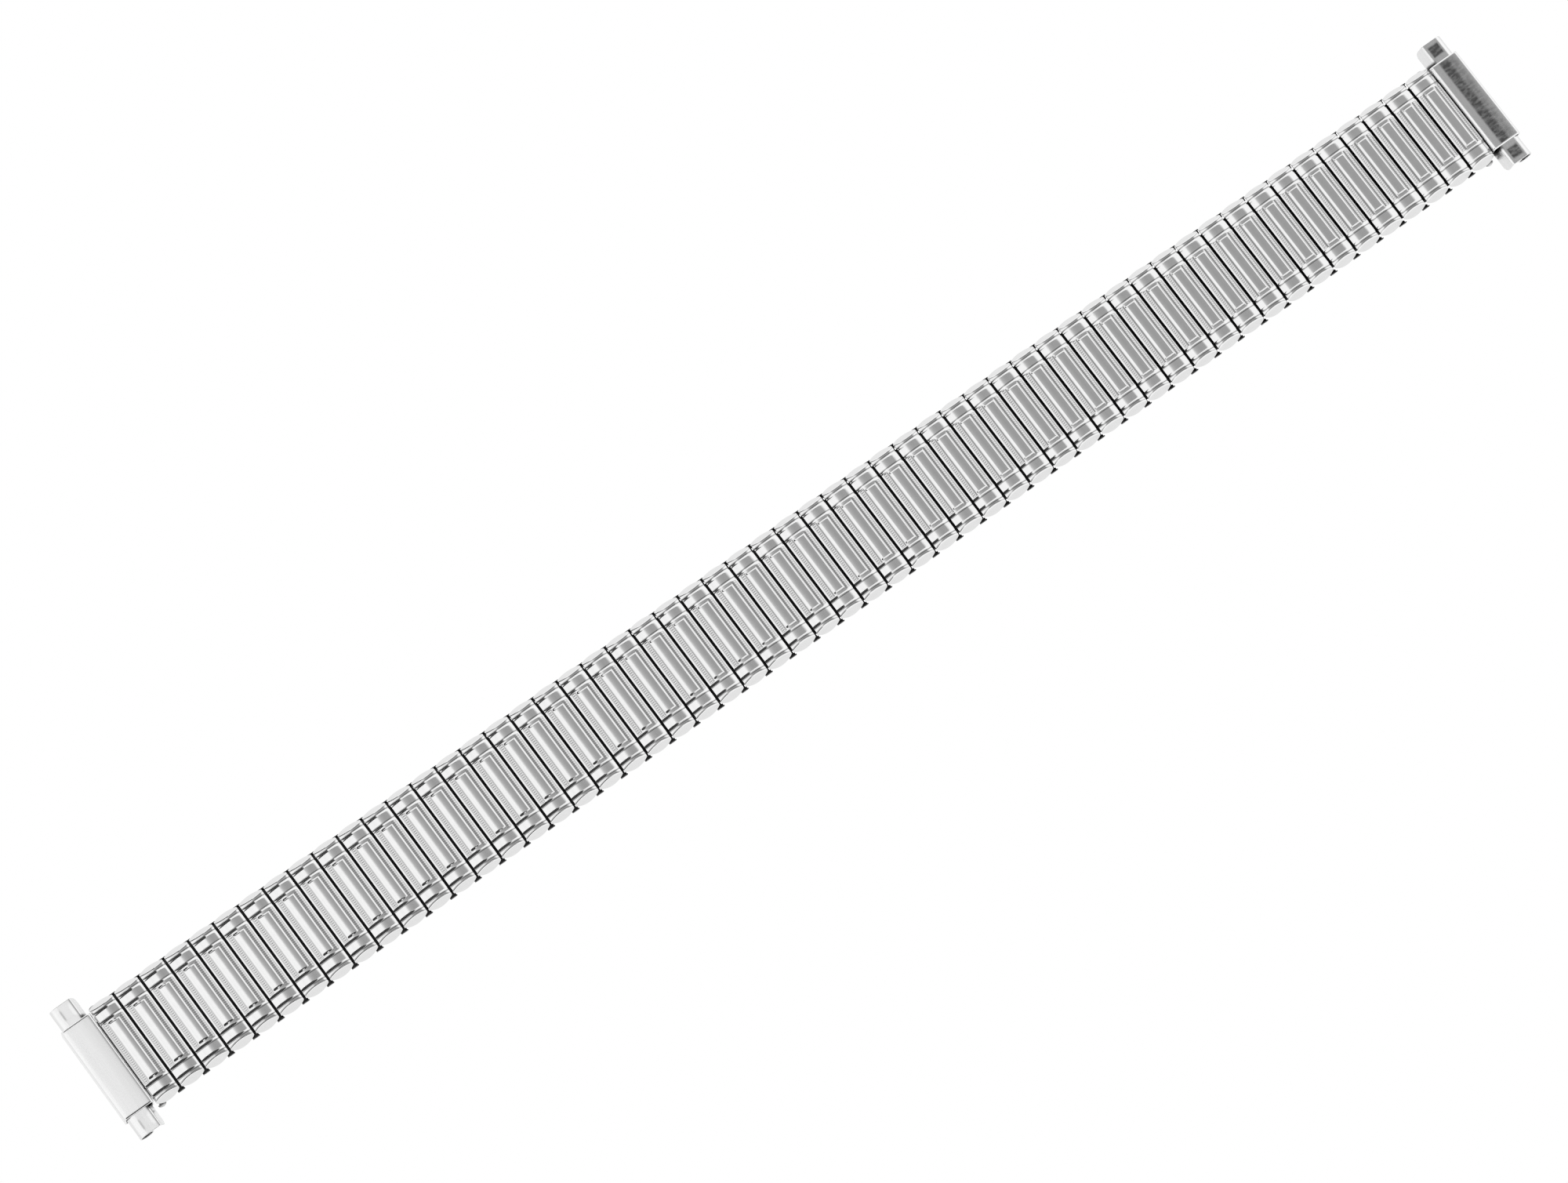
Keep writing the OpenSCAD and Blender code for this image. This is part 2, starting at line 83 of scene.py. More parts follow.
# Sleeves, springs and staples
SHEET = 0.1
LOWER_H = 0.85
UPPER_H = 0.72
UPPER_INSET = 0.1
HALF_UPPER = HALF_LINK - UPPER_INSET
SLEEVE_R = 0.13
SEAM = 0.03
SPRING_T = 0.08
SPRING_W = 1.7
SPRING_INSET = 0.25
SPRING_MIDDLE = 1.1
SPRING_R = 1.0
LOWER_SPRING_RISE = 0.26
TONGUE_W = 0.48
TONGUE_HEAD_W = 0.7
TONGUE_CLEAR = 0.05
TONGUE_HEAD_Y = STAPLE_OUT + TONGUE_CLEAR
TONGUE_INSET = 0.08
TONGUE_TIP = HALF_BAND - TONGUE_INSET
TONGUE_H = 0.5
TONGUE_R = 0.1
UPPER_SPRING_RISE = 0.06
LEG_CLEAR = 0.04
STAPLE_W = 0.3
STAPLE_T = 0.18
STAPLE_LEG = 2.2
STAPLE_R = 0.17
LEG_SPACING = 0.15

# Top shells
CROWN_RISE = 0.32
TIER_STEP = 0.09
BAR_RISE = 0.1
OUTER_EDGE_Z = SHELL_HIGH[2] - BAR_RISE - 2 * TIER_STEP - CROWN_RISE
CROWN_R = (HALF_LINK**2 + CROWN_RISE**2) / (2 * CROWN_RISE)
SHELL_END_Z = corner("center_top_shells", 0)[2]
END_SLOPE = 0.57
SLOPE_RUN = END_SLOPE / (OUTER_EDGE_Z + CROWN_RISE - SHELL_END_Z)
CORNER_CUT = 0.5
SKIRT_Z = SHELL_END_Z + CORNER_CUT
MOON_R = (HALF_LINK**2 + CORNER_CUT**2) / (2 * CORNER_CUT)
MIDDLE_TIER_Y = 4.35
MIDDLE_Y = 3.33
STEP_RUN = 0.3
STEP_BACK = 0.05
STEP_SHARES = (0, 0.2, 0.4, 0.6, 0.8, 1.0, 1.15, 1.3)
GROOVE_SHARE = 0.12
GROOVE_PLACE_SHARE = 1.05
GROOVE_WIDTH_SHARE = 0.25
EDGE_R = 0.02
RIM_R = 0.13
RIM_LEAD = 0.05
POCKET_CLEAR = 0.02
POCKET = HALF_UPPER + POCKET_CLEAR
KNURL_IN = 0.64
KNURL_OUT = 1.04
KNURL_MIDDLE = (KNURL_IN + KNURL_OUT) / 2
RIDGE_END = 0.035
KNURL_INSET = 0.07
KNURL_Y = MIDDLE_Y - KNURL_INSET
RIDGE_PITCH = 0.21
RIDGE_H = 0.03
# Shares of a rib's height, along its pitch and then across the row of ribs
RIDGE_SHARES = ((0, 0), (0.25, 0.7), (0.5, 1), (0.75, 0.7))
RIDGE_SIDE_SHARE = 0.8
BAR_X = 0.6
BAR_Y = 3.1
BAR_BEVEL = 0.15
BAR_END_BEVEL = 0.17
BAR_END_SHARES = (0, 0.5, 1, 1.4, 2)
BAR_COLUMN_SHARES = (1, 0.75, 0.4, 0)
BAR_CROWN_R = 2.2
BAR_ROUNDING = 1.6

# End pieces
END_T = 0.14
END_ROUND = 0.35
END_BEVEL = 0.06
END_CROWN = 0.02
END_TURN_W = 0.22
END_TURN = 0.08
END_TURN_SHARES = (1, 0.75, 0.5, 0.25, 0)
LIP = 0.45
LIP_CORNER = 0.15
LIP_CLEAR = 0.02
SLOT_TOP = END_LOW[2] + 2 * END_T + 2 * LIP_CLEAR
TONGUE_Y = 4.15
SLOT_Y = 4.2
PIN_R = 0.25
PIN_CLEAR = 0.03
EYE_R = PIN_R + PIN_CLEAR + END_T / 2
# Angles, in degrees, where the rolled eye meets its lead and where it ends, and of the lead
EYE_JOIN = -60
EYE_END = -352
LEAD_ANGLE = 30
LEAD_BEND = 0.2
FRAME_BEVEL = 0.02
PIN_X = PLATE_LOW[0] + EYE_R + END_T / 2
PIN_Z = PLATE_LOW[2] + EYE_R + END_T / 2
HEAD_R = 0.42
HEAD_T = 0.28
HEAD_UNDER_SHARE = 0.94
HEAD_SHADE = 0.1
PIN_SIDES = 32
EAR_OUT = 4.5
EAR_T = 0.3
EAR_CLEAR = 0.012
EAR_HOLE = PIN_R + EAR_CLEAR
EAR_SIDES = 40
# How much of a sheet's thickness lies above a point of its hollow side, at least
INNER_SHARE = 0.9

# The slider at the far side of the right end
TUBE_R = 0.72
TUBE_T = 0.12
TUBE_X = SLIDER_HIGH[0] - TUBE_R
TUBE_Z = SLIDER_HIGH[2] - TUBE_R
# Angles, in degrees, from which and to which the tube is rolled
ROLL_START = 90
ROLL_END = -222
FLANGE_X = SLIDER_LOW[0] + END_T / 2
FLANGE_LEAN = 0.45
FLANGE_BEND = 0.22
FLANGE_CORNER = 0.6
FLANGE_FREE_Y = 4.0
SLIDER_BEVEL = 0.05
DIMPLE = 1.1
DIMPLE_INSET = 0.45
DIMPLE_DEPTH = 0.02
DIMPLE_X = (SLIDER_LOW[0] + FLANGE_LEAN + TUBE_X + TUBE_R / 2) / 2
DIMPLE_Y = SLIDER_HIGH[1] - DIMPLE_INSET - DIMPLE / 2
# Shares of half the dimple's width: its flat part, its slope, then where the painted dark reflection in
# it ends
DISH_FLAT_SHARE = 0.7
DISH_SLOPE_SHARE = 0.5
DISH_REFLECTION_SHARE = 0.85
DISH_REFLECTION_FADE_SHARE = 0.3
DISH_MARGIN = 0.8
TIP_MARGIN = 0.12
# Width of the painted shadow at a flange's root, then how strongly painted shade shows inside the tube
ROOT_SHADOW = 0.3
TUBE_SHADE = 0.5
# The tube's radius with what touches it, as a share of its own
TUBE_NEAR_SHARE = 1.05
# Sheet halves: how far a slider's hollow side starts before its flange's face, and how far
# down its top sheet reaches, with room to spare
FACE_HALVES = 0.2
TOP_HALVES = 2.5


def smooth(t):
    t = min(1, max(0, t))
    return t * t * (3 - 2 * t)


def steps(low, high, count):
    return [low + (high - low) * i / count for i in range(count + 1)]


def link_x(k):
    return (k - MIDDLE) * PITCH


# Points closer than this, in millimetres, are one point
WELD = 1e-5


def mesh_from(bm, name, bevel=0.0, segments=2, sharp=42):
    """Closes a mesh made in millimetres: rounds its edges sharper than so many degrees and
    turns it into metres."""
    bmesh.ops.remove_doubles(bm, verts=bm.verts, dist=WELD)
    bmesh.ops.dissolve_degenerate(bm, dist=WELD, edges=bm.edges)
    bmesh.ops.recalc_face_normals(bm, faces=bm.faces)
    if bevel:
        limit = math.radians(sharp)
        edges = [e for e in bm.edges if len(e.link_faces) == 2 and e.calc_face_angle() > limit]
        bmesh.ops.bevel(
            bm, geom=edges, offset=bevel, segments=segments, profile=0.5,
            affect="EDGES", clamp_overlap=True,
        )
        bmesh.ops.recalc_face_normals(bm, faces=bm.faces)
    bmesh.ops.scale(bm, vec=(MM, MM, MM), verts=bm.verts)
    mesh = bpy.data.meshes.new(name)
    bm.to_mesh(mesh)
    bm.free()
    mesh.shade_smooth()
    mesh.set_sharp_from_angle(angle=math.radians(sharp))
    return mesh


def paint(mesh, name, value_at):
    """Stores a share from 0 to 1 at each point of a mesh, which its material reads."""
    layer = mesh.attributes.new(name, "FLOAT", "POINT")
    for vertex, item in zip(mesh.vertices, layer.data):
        item.value = min(1, max(0, value_at(*(v / MM for v in vertex.co))))


def grid(bm, rows):
    """Faces between rows of points, each row a list of equal length."""
    made = [[bm.verts.new(p) for p in row] for row in rows]
    for low, high in zip(made, made[1:]):
        for i in range(len(low) - 1):
            bm.faces.new((low[i], low[i + 1], high[i + 1], high[i]))


def zipped(bm, one, other):
    """Triangles between two lines of points that both run along Y, of any two counts."""
    a = [bm.verts.new(p) for p in one]
    b = [bm.verts.new(p) for p in other]
    i = j = 0
    while i < len(a) - 1 or j < len(b) - 1:
        if j == len(b) - 1 or (i < len(a) - 1 and one[i + 1][1] <= other[j + 1][1]):
            bm.faces.new((a[i], a[i + 1], b[j]))
            i += 1
        else:
            bm.faces.new((a[i], b[j + 1], b[j]))
            j += 1


def rounded(corners, turn=15):
    """A path through corners (u, z, radius), with an arc at each that has a radius."""
    out = []
    for i, (u, z, r) in enumerate(corners):
        if not r or i in (0, len(corners) - 1):
            out.append((u, z))
            continue
        here = Vector((u, z))
        back = (Vector(corners[i - 1][:2]) - here).normalized()
        on = (Vector(corners[i + 1][:2]) - here).normalized()
        angle = back.angle(on)
        centre = here + (back + on).normalized() * (r / math.sin(angle / 2))
        start = here + back * (r / math.tan(angle / 2)) - centre
        end = here + on * (r / math.tan(angle / 2)) - centre
        sweep = start.angle(end)
        side = 1 if start.x * end.y - start.y * end.x > 0 else -1
        count = max(2, round(math.degrees(sweep) / turn))
        for a in steps(0, side * sweep, count):
            c, s = math.cos(a), math.sin(a)
            out.append((centre.x + start.x * c - start.y * s, centre.y + start.x * s + start.y * c))
    return out


def arc(u, z, r, low, high, turn=15):
    """Points of an arc, its angles in degrees."""
    count = max(2, round(abs(high - low) / turn))
    return [
        (u + r * math.cos(math.radians(a)), z + r * math.sin(math.radians(a)))
        for a in steps(low, high, count)
    ]


# The least share that a bend in a sheet's path leaves of its mitre
LEAST_MITRE = 0.5


def sheet_faces(bm, path, half, rows, present=None, at=None):
    """A bent sheet: it follows path (u, z) at half its thickness to each side, over rows.
    present(i, j) leaves a cell out and at(i, j, side, point) moves a point."""
    half = half if callable(half) else (lambda i, h=half: h)
    points = [Vector(p) for p in path]
    n, m = len(points), len(rows)
    normals = []
    for i in range(n):
        before = (points[i] - points[max(0, i - 1)]).normalized() if i else None
        after = (points[min(n - 1, i + 1)] - points[i]).normalized() if i < n - 1 else None
        along = (before + after).normalized() if before and after else (before or after)
        normal = Vector((-along.y, along.x))
        stretch = 1 / max(LEAST_MITRE, along.dot(after or before))
        normals.append(normal * stretch)
    verts = {}
    for i in range(n):
        for j in range(m):
            for side in (1, -1):
                p = points[i] + normals[i] * half(i) * side
                co = Vector((p.x, rows[j], p.y))
                if at:
                    co = at(i, j, side, co)
                verts[i, j, side] = bm.verts.new(co)
    here = {
        (i, j) for i in range(n - 1) for j in range(m - 1) if present is None or present(i, j)
    }
    for i, j in sorted(here):
        for side in (1, -1):
            loop = [(i, j), (i + 1, j), (i + 1, j + 1), (i, j + 1)]
            bm.faces.new([verts[a, b, side] for a, b in loop[::side]])
        borders = (
            ((i - 1, j), (i, j), (i, j + 1)),
            ((i + 1, j), (i + 1, j), (i + 1, j + 1)),
            ((i, j - 1), (i, j), (i + 1, j)),
            ((i, j + 1), (i, j + 1), (i + 1, j + 1)),
        )
        for neighbour, p, q in borders:
            if neighbour not in here:
                bm.faces.new((verts[(*p, 1)], verts[(*q, 1)], verts[(*q, -1)], verts[(*p, -1)]))


def turned_section(bm, before):
    """Swaps X and Y of the points made since before, for sections drawn across the band."""
    bm.verts.ensure_lookup_table()
    for v in bm.verts[before:]:
        v.co.x, v.co.y = v.co.y, v.co.x


def shift(bm, before, x):
    """Moves the points made since before along the band."""
    bm.verts.ensure_lookup_table()
    for v in bm.verts[before:]:
        v.co.x += x


# The top shell

def crown(x):
    """Height of the crowned section above the edge of its tier."""
    return CROWN_RISE - CROWN_R + math.sqrt(CROWN_R**2 - x * x)


def step_share(y, y0):
    """How far down a step at y0 is: 1 above it, 0 below it, with a groove at its foot."""
    t = (abs(y) - y0 + STEP_BACK) / STEP_RUN
    groove = max(0, 1 - ((t - GROOVE_PLACE_SHARE) / GROOVE_WIDTH_SHARE) ** 2)
    return 1 - smooth(t) - GROOVE_SHARE * groove


def tier_edge(y):
    """Height of the shell's edge line at y, with the two sloping steps."""
    return OUTER_EDGE_Z + TIER_STEP * sum(step_share(y, y0) for y0 in (MIDDLE_Y, MIDDLE_TIER_Y))


def edge_columns():
    """The rounding from the skirt into the crown, as (x, height above the edge)."""
    fx = HALF_LINK - EDGE_R
    base = CROWN_RISE - CROWN_R
    fz = base + math.sqrt((CROWN_R - EDGE_R) ** 2 - fx**2)
    end = math.atan2(fz - base, fx)
    return [(fx + EDGE_R * math.cos(a), fz + EDGE_R * math.sin(a)) for a in steps(0, end, 4)]


def slope_y(z):
    """Distance of the sloping end from the middle at a height."""
    return HALF_BAND - SLOPE_RUN * (z - SHELL_END_Z)


def moon_z(x):
    """Height of the half-moon's lower edge."""
    return SHELL_END_Z + MOON_R - math.sqrt(MOON_R**2 - x * x)


def end_rows(x, top, skirt=None):
    """One column's (y, z) from the pattern's end to the half-moon's edge."""
    out = [KNURL_Y]
    for y0 in (MIDDLE_Y, MIDDLE_TIER_Y):
        out += [y0 - STEP_BACK + STEP_RUN * t for t in STEP_SHARES]
    rows = [(y, tier_edge(y) + top) for y in out]
    z = OUTER_EDGE_Z + top
    y = slope_y(z)
    rows.append((y - RIM_R - RIM_LEAD, z))
    lean = Vector((SLOPE_RUN, -1)).normalized()
    first, rim = Vector((y - RIM_R, z)), Vector((y, z))
    last = rim + lean * RIM_R
    for t in steps(0, 1, 4):
        p = first.lerp(rim, t).lerp(rim.lerp(last, t), t)
        rows.append((p.x, p.y))
    foot = moon_z(min(x, HALF_LINK))
    foot_point = Vector((slope_y(foot), foot))
    half_way = last.lerp(foot_point, 0.5)
    rows += [tuple(half_way), tuple(foot_point)]
    return rows if skirt is None else [(min(r[0], rows[-1][0]), skirt) for r in rows]


def shell_columns():
    """Half of the outer columns, from the skirt inward: (x, height above the edge)."""
    edge = edge_columns()
    bar_top = BAR_X - BAR_BEVEL
    inward = [(KNURL_OUT + edge[-1][0]) / 2, KNURL_OUT, KNURL_OUT - RIDGE_END, KNURL_MIDDLE,
              KNURL_IN + RIDGE_END, KNURL_IN, BAR_X, BAR_X - BAR_BEVEL / 2]
    inward += [share * bar_top for share in BAR_COLUMN_SHARES]
    return edge + [(x, crown(x)) for x in inward]


def bar_height(x, y):
    """Height of the raised bar above the crown."""
    across = (BAR_X - abs(x)) / BAR_BEVEL
    along = (BAR_Y - abs(y)) / BAR_END_BEVEL
    share = min(1, max(0, min(across, along)))
    bar_top = CROWN_RISE + BAR_RISE - x * x / (2 * BAR_CROWN_R)
    return (bar_top - crown(x)) * (1 - (1 - share) ** BAR_ROUNDING)


def shell_ring():
    """The columns across the whole shell: (x, height above the edge, side). The skirt's
    lower edge, at each end of the list, has no height."""
    columns = [(HALF_LINK, None)] + shell_columns()
    return [(*column, 1) for column in columns] + [(*column, -1) for column in columns[-2::-1]]


def outside_line(x, top):
    """One column of the ring on the outside, as end_rows gives it."""
    if top is None:
        return end_rows(HALF_LINK, shell_columns()[0][1], SKIRT_Z)
    return end_rows(x, top)


def rib_rows():
    """Rows across the ribs, as (y, share of a rib's height)."""
    count = round(2 * KNURL_Y / RIDGE_PITCH)
    pitch = 2 * KNURL_Y / count
    rows = [(-KNURL_Y + (i + part) * pitch, up) for i in range(count) for part, up in RIDGE_SHARES]
    return rows + [(KNURL_Y, 0)]


def bar_rows():
    """Rows along the raised bar, close together at its ends."""
    near_end = [BAR_Y - BAR_END_BEVEL * share for share in BAR_END_SHARES]
    return [-KNURL_Y] + [-y for y in near_end] + near_end[::-1] + [KNURL_Y]


def shell_ends(bm, ring):
    """The outside from the pattern's ends to the half-moons."""
    for end in (1, -1):
        lines = [
            [(side * x, end * y, z) for y, z in outside_line(x, top)] for x, top, side in ring
        ]
        grid(bm, [[line[j] for line in lines] for j in range(len(lines[0]))])


def shell_pattern(bm):
    """The outside between the ends: plain border, ribs and raised bar on each side."""
    half = shell_columns()
    places = [x for x, _ in half]
    border, inner = places.index(KNURL_OUT), places.index(KNURL_IN)
    edge_z = tier_edge(0)
    ribs, bar = rib_rows(), bar_rows()
    raised = {KNURL_OUT: 0, KNURL_OUT - RIDGE_END: RIDGE_SIDE_SHARE, KNURL_MIDDLE: 1,
              KNURL_IN + RIDGE_END: RIDGE_SIDE_SHARE, KNURL_IN: 0}
    for side in (1, -1):
        plain = [(HALF_LINK, SKIRT_Z)] + [(x, edge_z + top) for x, top in half[:border]]
        grid(bm, [[(side * x, y, z) for x, z in plain] for y in (-KNURL_Y, KNURL_Y)])
        x, z = plain[-1]
        outer_line = [(side * KNURL_OUT, y, edge_z + crown(KNURL_OUT)) for y, _ in ribs]
        zipped(bm, [(side * x, -KNURL_Y, z), (side * x, KNURL_Y, z)], outer_line)
        grid(bm, [
            [(side * x, y, edge_z + top + RIDGE_H * up * raised[x])
             for x, top in half[border:inner + 1]]
            for y, up in ribs
        ])
        inner_line = [(side * KNURL_IN, y, edge_z + crown(KNURL_IN)) for y, _ in ribs]
        zipped(bm, inner_line, [(side * BAR_X, y, edge_z + crown(BAR_X)) for y in bar])
        grid(bm, [
            [(side * x, y, edge_z + top + bar_height(x, y)) for x, top in half[inner + 1:]]
            for y in bar
        ])


def inside_line(x, wall):
    """One column's (y, z) on the hollow side, from the pattern's end to the lower edge."""
    inset = SHEET * math.sqrt(1 + SLOPE_RUN**2)
    ys = [MIDDLE_Y - SHEET - STEP_BACK, MIDDLE_Y + STEP_RUN / 2,
          MIDDLE_TIER_Y - SHEET - STEP_BACK, MIDDLE_TIER_Y + STEP_RUN / 2]
    foot = moon_z(x)
    foot_point = (slope_y(foot) - inset, foot)
    if wall:
        line = [(y, SKIRT_Z) for y in ys]
        return line + [((ys[-1] + foot_point[0]) / 2, SKIRT_Z), foot_point]
    line = [(y, tier_edge(y + SHEET) - SHEET + crown(x)) for y in ys]
    z = OUTER_EDGE_Z - SHEET + crown(x)
    return line + [(slope_y(z) - inset, z), foot_point]


def shell_inside(bm, ring):
    """The hollow side of the sheet, with the rims that join it to the outside."""
    share = POCKET / HALF_LINK
    lines = []
    for x, top, side in ring:
        u = x * share
        line = inside_line(u, top is None)
        lines.append(
            [(side * u, -y, z) for y, z in line[::-1]] + [(side * u, y, z) for y, z in line]
        )
    grid(bm, [[line[j] for line in lines] for j in range(len(lines[0]))])
    outer = [(side * x, outside_line(x, top)) for x, top, side in ring]
    for end, j in ((1, -1), (-1, 0)):
        grid(bm, [
            [(x, end * line[-1][0], line[-1][1]) for x, line in outer],
            [line[j] for line in lines],
        ])
    for i in (0, -1):
        x, line = outer[i]
        edge = [(x, -y, z) for y, z in line[::-1]] + [(x, y, z) for y, z in line]
        zipped(bm, edge, lines[i])


# Painted shade on a shell: how strongly it shows between the ribs, what a rib's top loses of it, and how
# strongly it shows round the bar, in the grooves and at the rim
RIB_SHADE = 0.55
RIB_TOP_LESS_SHADE = 0.5
BAR_SHADE = 0.25
GROOVE_SHADE = 0.7
RIM_SHADE = 0.6
# How near a point has to be to count as on such a line, in millimetres and in step shares
NEAR = 0.01
VERY_NEAR = 0.001
GROOVE_NEAR_SHARE = 0.12
RIM_SHADE_LOW = SKIRT_Z + 0.1


def shell_painted_shade(x, y, z):
    """Painted shade: inside, between the ribs and at the foot of each form."""
    x, y = abs(x), abs(y)
    top = tier_edge(y) + crown(min(x, HALF_LINK))
    if x < POCKET + NEAR and z < top - SHEET / 2 and y < slope_y(z) - SHEET / 2:
        return 1.0
    if KNURL_IN <= x <= KNURL_OUT + VERY_NEAR and y <= KNURL_Y + VERY_NEAR:
        return RIB_SHADE - RIB_TOP_LESS_SHADE * (z - top) / RIDGE_H
    beside_bar = abs(x - BAR_X) < VERY_NEAR and y <= BAR_Y
    if beside_bar or abs(y - BAR_Y) < VERY_NEAR and x <= BAR_X:
        return BAR_SHADE
    for y0 in (MIDDLE_Y, MIDDLE_TIER_Y):
        if abs((y - y0 + STEP_BACK) / STEP_RUN - GROOVE_PLACE_SHARE) < GROOVE_NEAR_SHARE:
            return GROOVE_SHADE
    if abs(y - slope_y(z) + RIM_R) < NEAR and z > RIM_SHADE_LOW:
        return RIM_SHADE
    return 0.0


def shell_mesh():
    bm = bmesh.new()
    ring = shell_ring()
    shell_ends(bm, ring)
    shell_pattern(bm)
    shell_inside(bm, ring)
    mesh = mesh_from(bm, "shell", sharp=38)
    # Painted shade: darker inside, between the ribs, round the bar, in the grooves and at the rim
    paint(mesh, "painted_shade", shell_painted_shade)
    return mesh


# What lies under the shells

def sleeve(bm, x, w, low, h, seam_below):
    """A tube folded from sheet, open at both ends, with a butt seam."""
    before = len(bm.verts)
    t = SHEET / 2
    bottom, top, side = low + t, low + h - t, w / 2 - t
    seam_z, far_z = (bottom, top) if seam_below else (top, bottom)
    path = rounded([
        (SEAM / 2, seam_z, 0), (side, seam_z, SLEEVE_R), (side, far_z, SLEEVE_R),
        (-side, far_z, SLEEVE_R), (-side, seam_z, SLEEVE_R), (-SEAM / 2, seam_z, 0),
    ], turn=22)
    sheet_faces(bm, path, t, [-HALF_SLEEVE, HALF_SLEEVE])
    shift(bm, before, x)


def upper_sleeve(bm, x):
    sleeve(bm, x, 2 * HALF_UPPER, UPPER_TOP - UPPER_H, UPPER_H, False)


def lower_sleeve(bm, x):
    sleeve(bm, x, 2 * HALF_LINK, 0, LOWER_H, True)


def leaf_spring(bm, x, end_z, rise):
    before = len(bm.verts)
    half = HALF_SLEEVE - SPRING_INSET
    path = rounded([
        (-half, end_z, 0), (-SPRING_MIDDLE, end_z + rise, SPRING_R),
        (SPRING_MIDDLE, end_z + rise, SPRING_R), (half, end_z, 0),
    ], turn=3)
    sheet_faces(bm, path, SPRING_T / 2, [-SPRING_W / 2, SPRING_W / 2])
    turned_section(bm, before)
    shift(bm, before, x)


def upper_spring(bm, x):
    top = UPPER_TOP - SHEET - LEG_CLEAR / 2 - SPRING_T / 2
    leaf_spring(bm, x, top - UPPER_SPRING_RISE, UPPER_SPRING_RISE)


def lower_spring(bm, x):
    low = SHEET + LEG_CLEAR / 2 + SPRING_T / 2
    z = low + LOWER_SPRING_RISE
    leaf_spring(bm, x, z, -LOWER_SPRING_RISE)
    root, tip = HALF_SLEEVE - SPRING_INSET - SPRING_T, TONGUE_TIP - SPRING_T / 2
    tip_z = z + TONGUE_H - SPRING_T / 2
    for side in (1, -1):
        before = len(bm.verts)
        neck = [(side * root, z), (side * TONGUE_HEAD_Y, z)]
        head = rounded([
            (side * TONGUE_HEAD_Y, z, 0), (side * tip, z, TONGUE_R),
            (side * tip, tip_z, 0),
        ], turn=30)
        sheet_faces(bm, neck, SPRING_T / 2, [-TONGUE_W / 2, TONGUE_W / 2])
        sheet_faces(bm, head, SPRING_T / 2, [-TONGUE_HEAD_W / 2, TONGUE_HEAD_W / 2])
        turned_section(bm, before)
        shift(bm, before, x)


LOW_LEG_TOP = LOWER_H - SHEET - LEG_CLEAR
HIGH_LEG_BASE = UPPER_TOP - UPPER_H + SHEET + LEG_CLEAR
OWN_LEG_X = HALF_UPPER - SHEET - LEG_CLEAR - STAPLE_W
REACH_HIGH_X = OWN_LEG_X - LEG_SPACING - STAPLE_W
REACH_LOW_X = -(PITCH / 2 - HALF_LINK) - SHEET - LEG_CLEAR - STAPLE_W


def staple_pair(bm, x, low_x, high_x):
    """A staple at each side of the band: strip bent into two legs joined by a back."""
    back_y = STAPLE_OUT - STAPLE_T / 2
    leg_y = STAPLE_OUT - STAPLE_T - STAPLE_LEG
    low, high = LOW_LEG_TOP - STAPLE_T / 2, HIGH_LEG_BASE + STAPLE_T / 2
    for side in (1, -1):
        before = len(bm.verts)
        path = rounded([
            (side * leg_y, low, 0), (side * back_y, low, STAPLE_R),
            (side * back_y, high, STAPLE_R), (side * leg_y, high, 0),
        ], turn=30)
        sheet_faces(bm, path, STAPLE_T / 2, [0, STAPLE_W])
        turned_section(bm, before)
        bm.verts.ensure_lookup_table()
        for v in bm.verts[before:]:
            rise = smooth((v.co.z - LOW_LEG_TOP) / (HIGH_LEG_BASE - LOW_LEG_TOP))
            v.co.x += x + low_x + (high_x - low_x) * rise


def own_staples(bm, x):
    staple_pair(bm, x, OWN_LEG_X, OWN_LEG_X)


def reach_staples(bm, x):
    staple_pair(bm, x + PITCH, REACH_LOW_X, REACH_HIGH_X)


def ears(bm, x):
    """The lugs of the last upper sleeve, with holes for the hinge pin."""
    outer_r = EYE_R + END_T / 2
    pin_x = x + PIN_X - link_x(LINKS)
    top = UPPER_TOP - UPPER_H + SHEET / 2 - PIN_Z
    for side in (1, -1):
        rings = []
        for y in (EAR_OUT, EAR_OUT - EAR_T):
            outer, hole = [], []
            for i in range(EAR_SIDES):
                a = 2 * math.pi * i / EAR_SIDES
                c, s = math.cos(a), math.sin(a)
                reach = outer_r if s <= 0 else min(outer_r / max(1e-6, abs(c)), top / s)
                outer.append((pin_x + reach * c, side * y, PIN_Z + reach * s))
                hole.append((pin_x + EAR_HOLE * c, side * y, PIN_Z + EAR_HOLE * s))
            rings.append((outer, hole))
        (o1, h1), (o2, h2) = rings
        loop = [o1, h1, h2, o2, o1]
        grid(bm, [[line[i % EAR_SIDES] for i in range(EAR_SIDES + 1)] for line in loop])


# End pieces, drawn at the right end

# Counts of columns over the cover's top and of rows along its slot, and the length that
# tells the flat top from the steps of an arc
COVER_COLUMNS = 24
SLOT_ROWS = 20
LONGEST_ARC_STEP = 1
# The cover's painted dark reflection, a band in shares of its width: where it starts and how soon it is
# full, then where it fades, over what width and by how much
REFLECTION_START = 0.27
REFLECTION_RISE = 0.07
REFLECTION_FADES = ((0.55, 0.12, 0.45), (0.72, 0.22, 0.55))


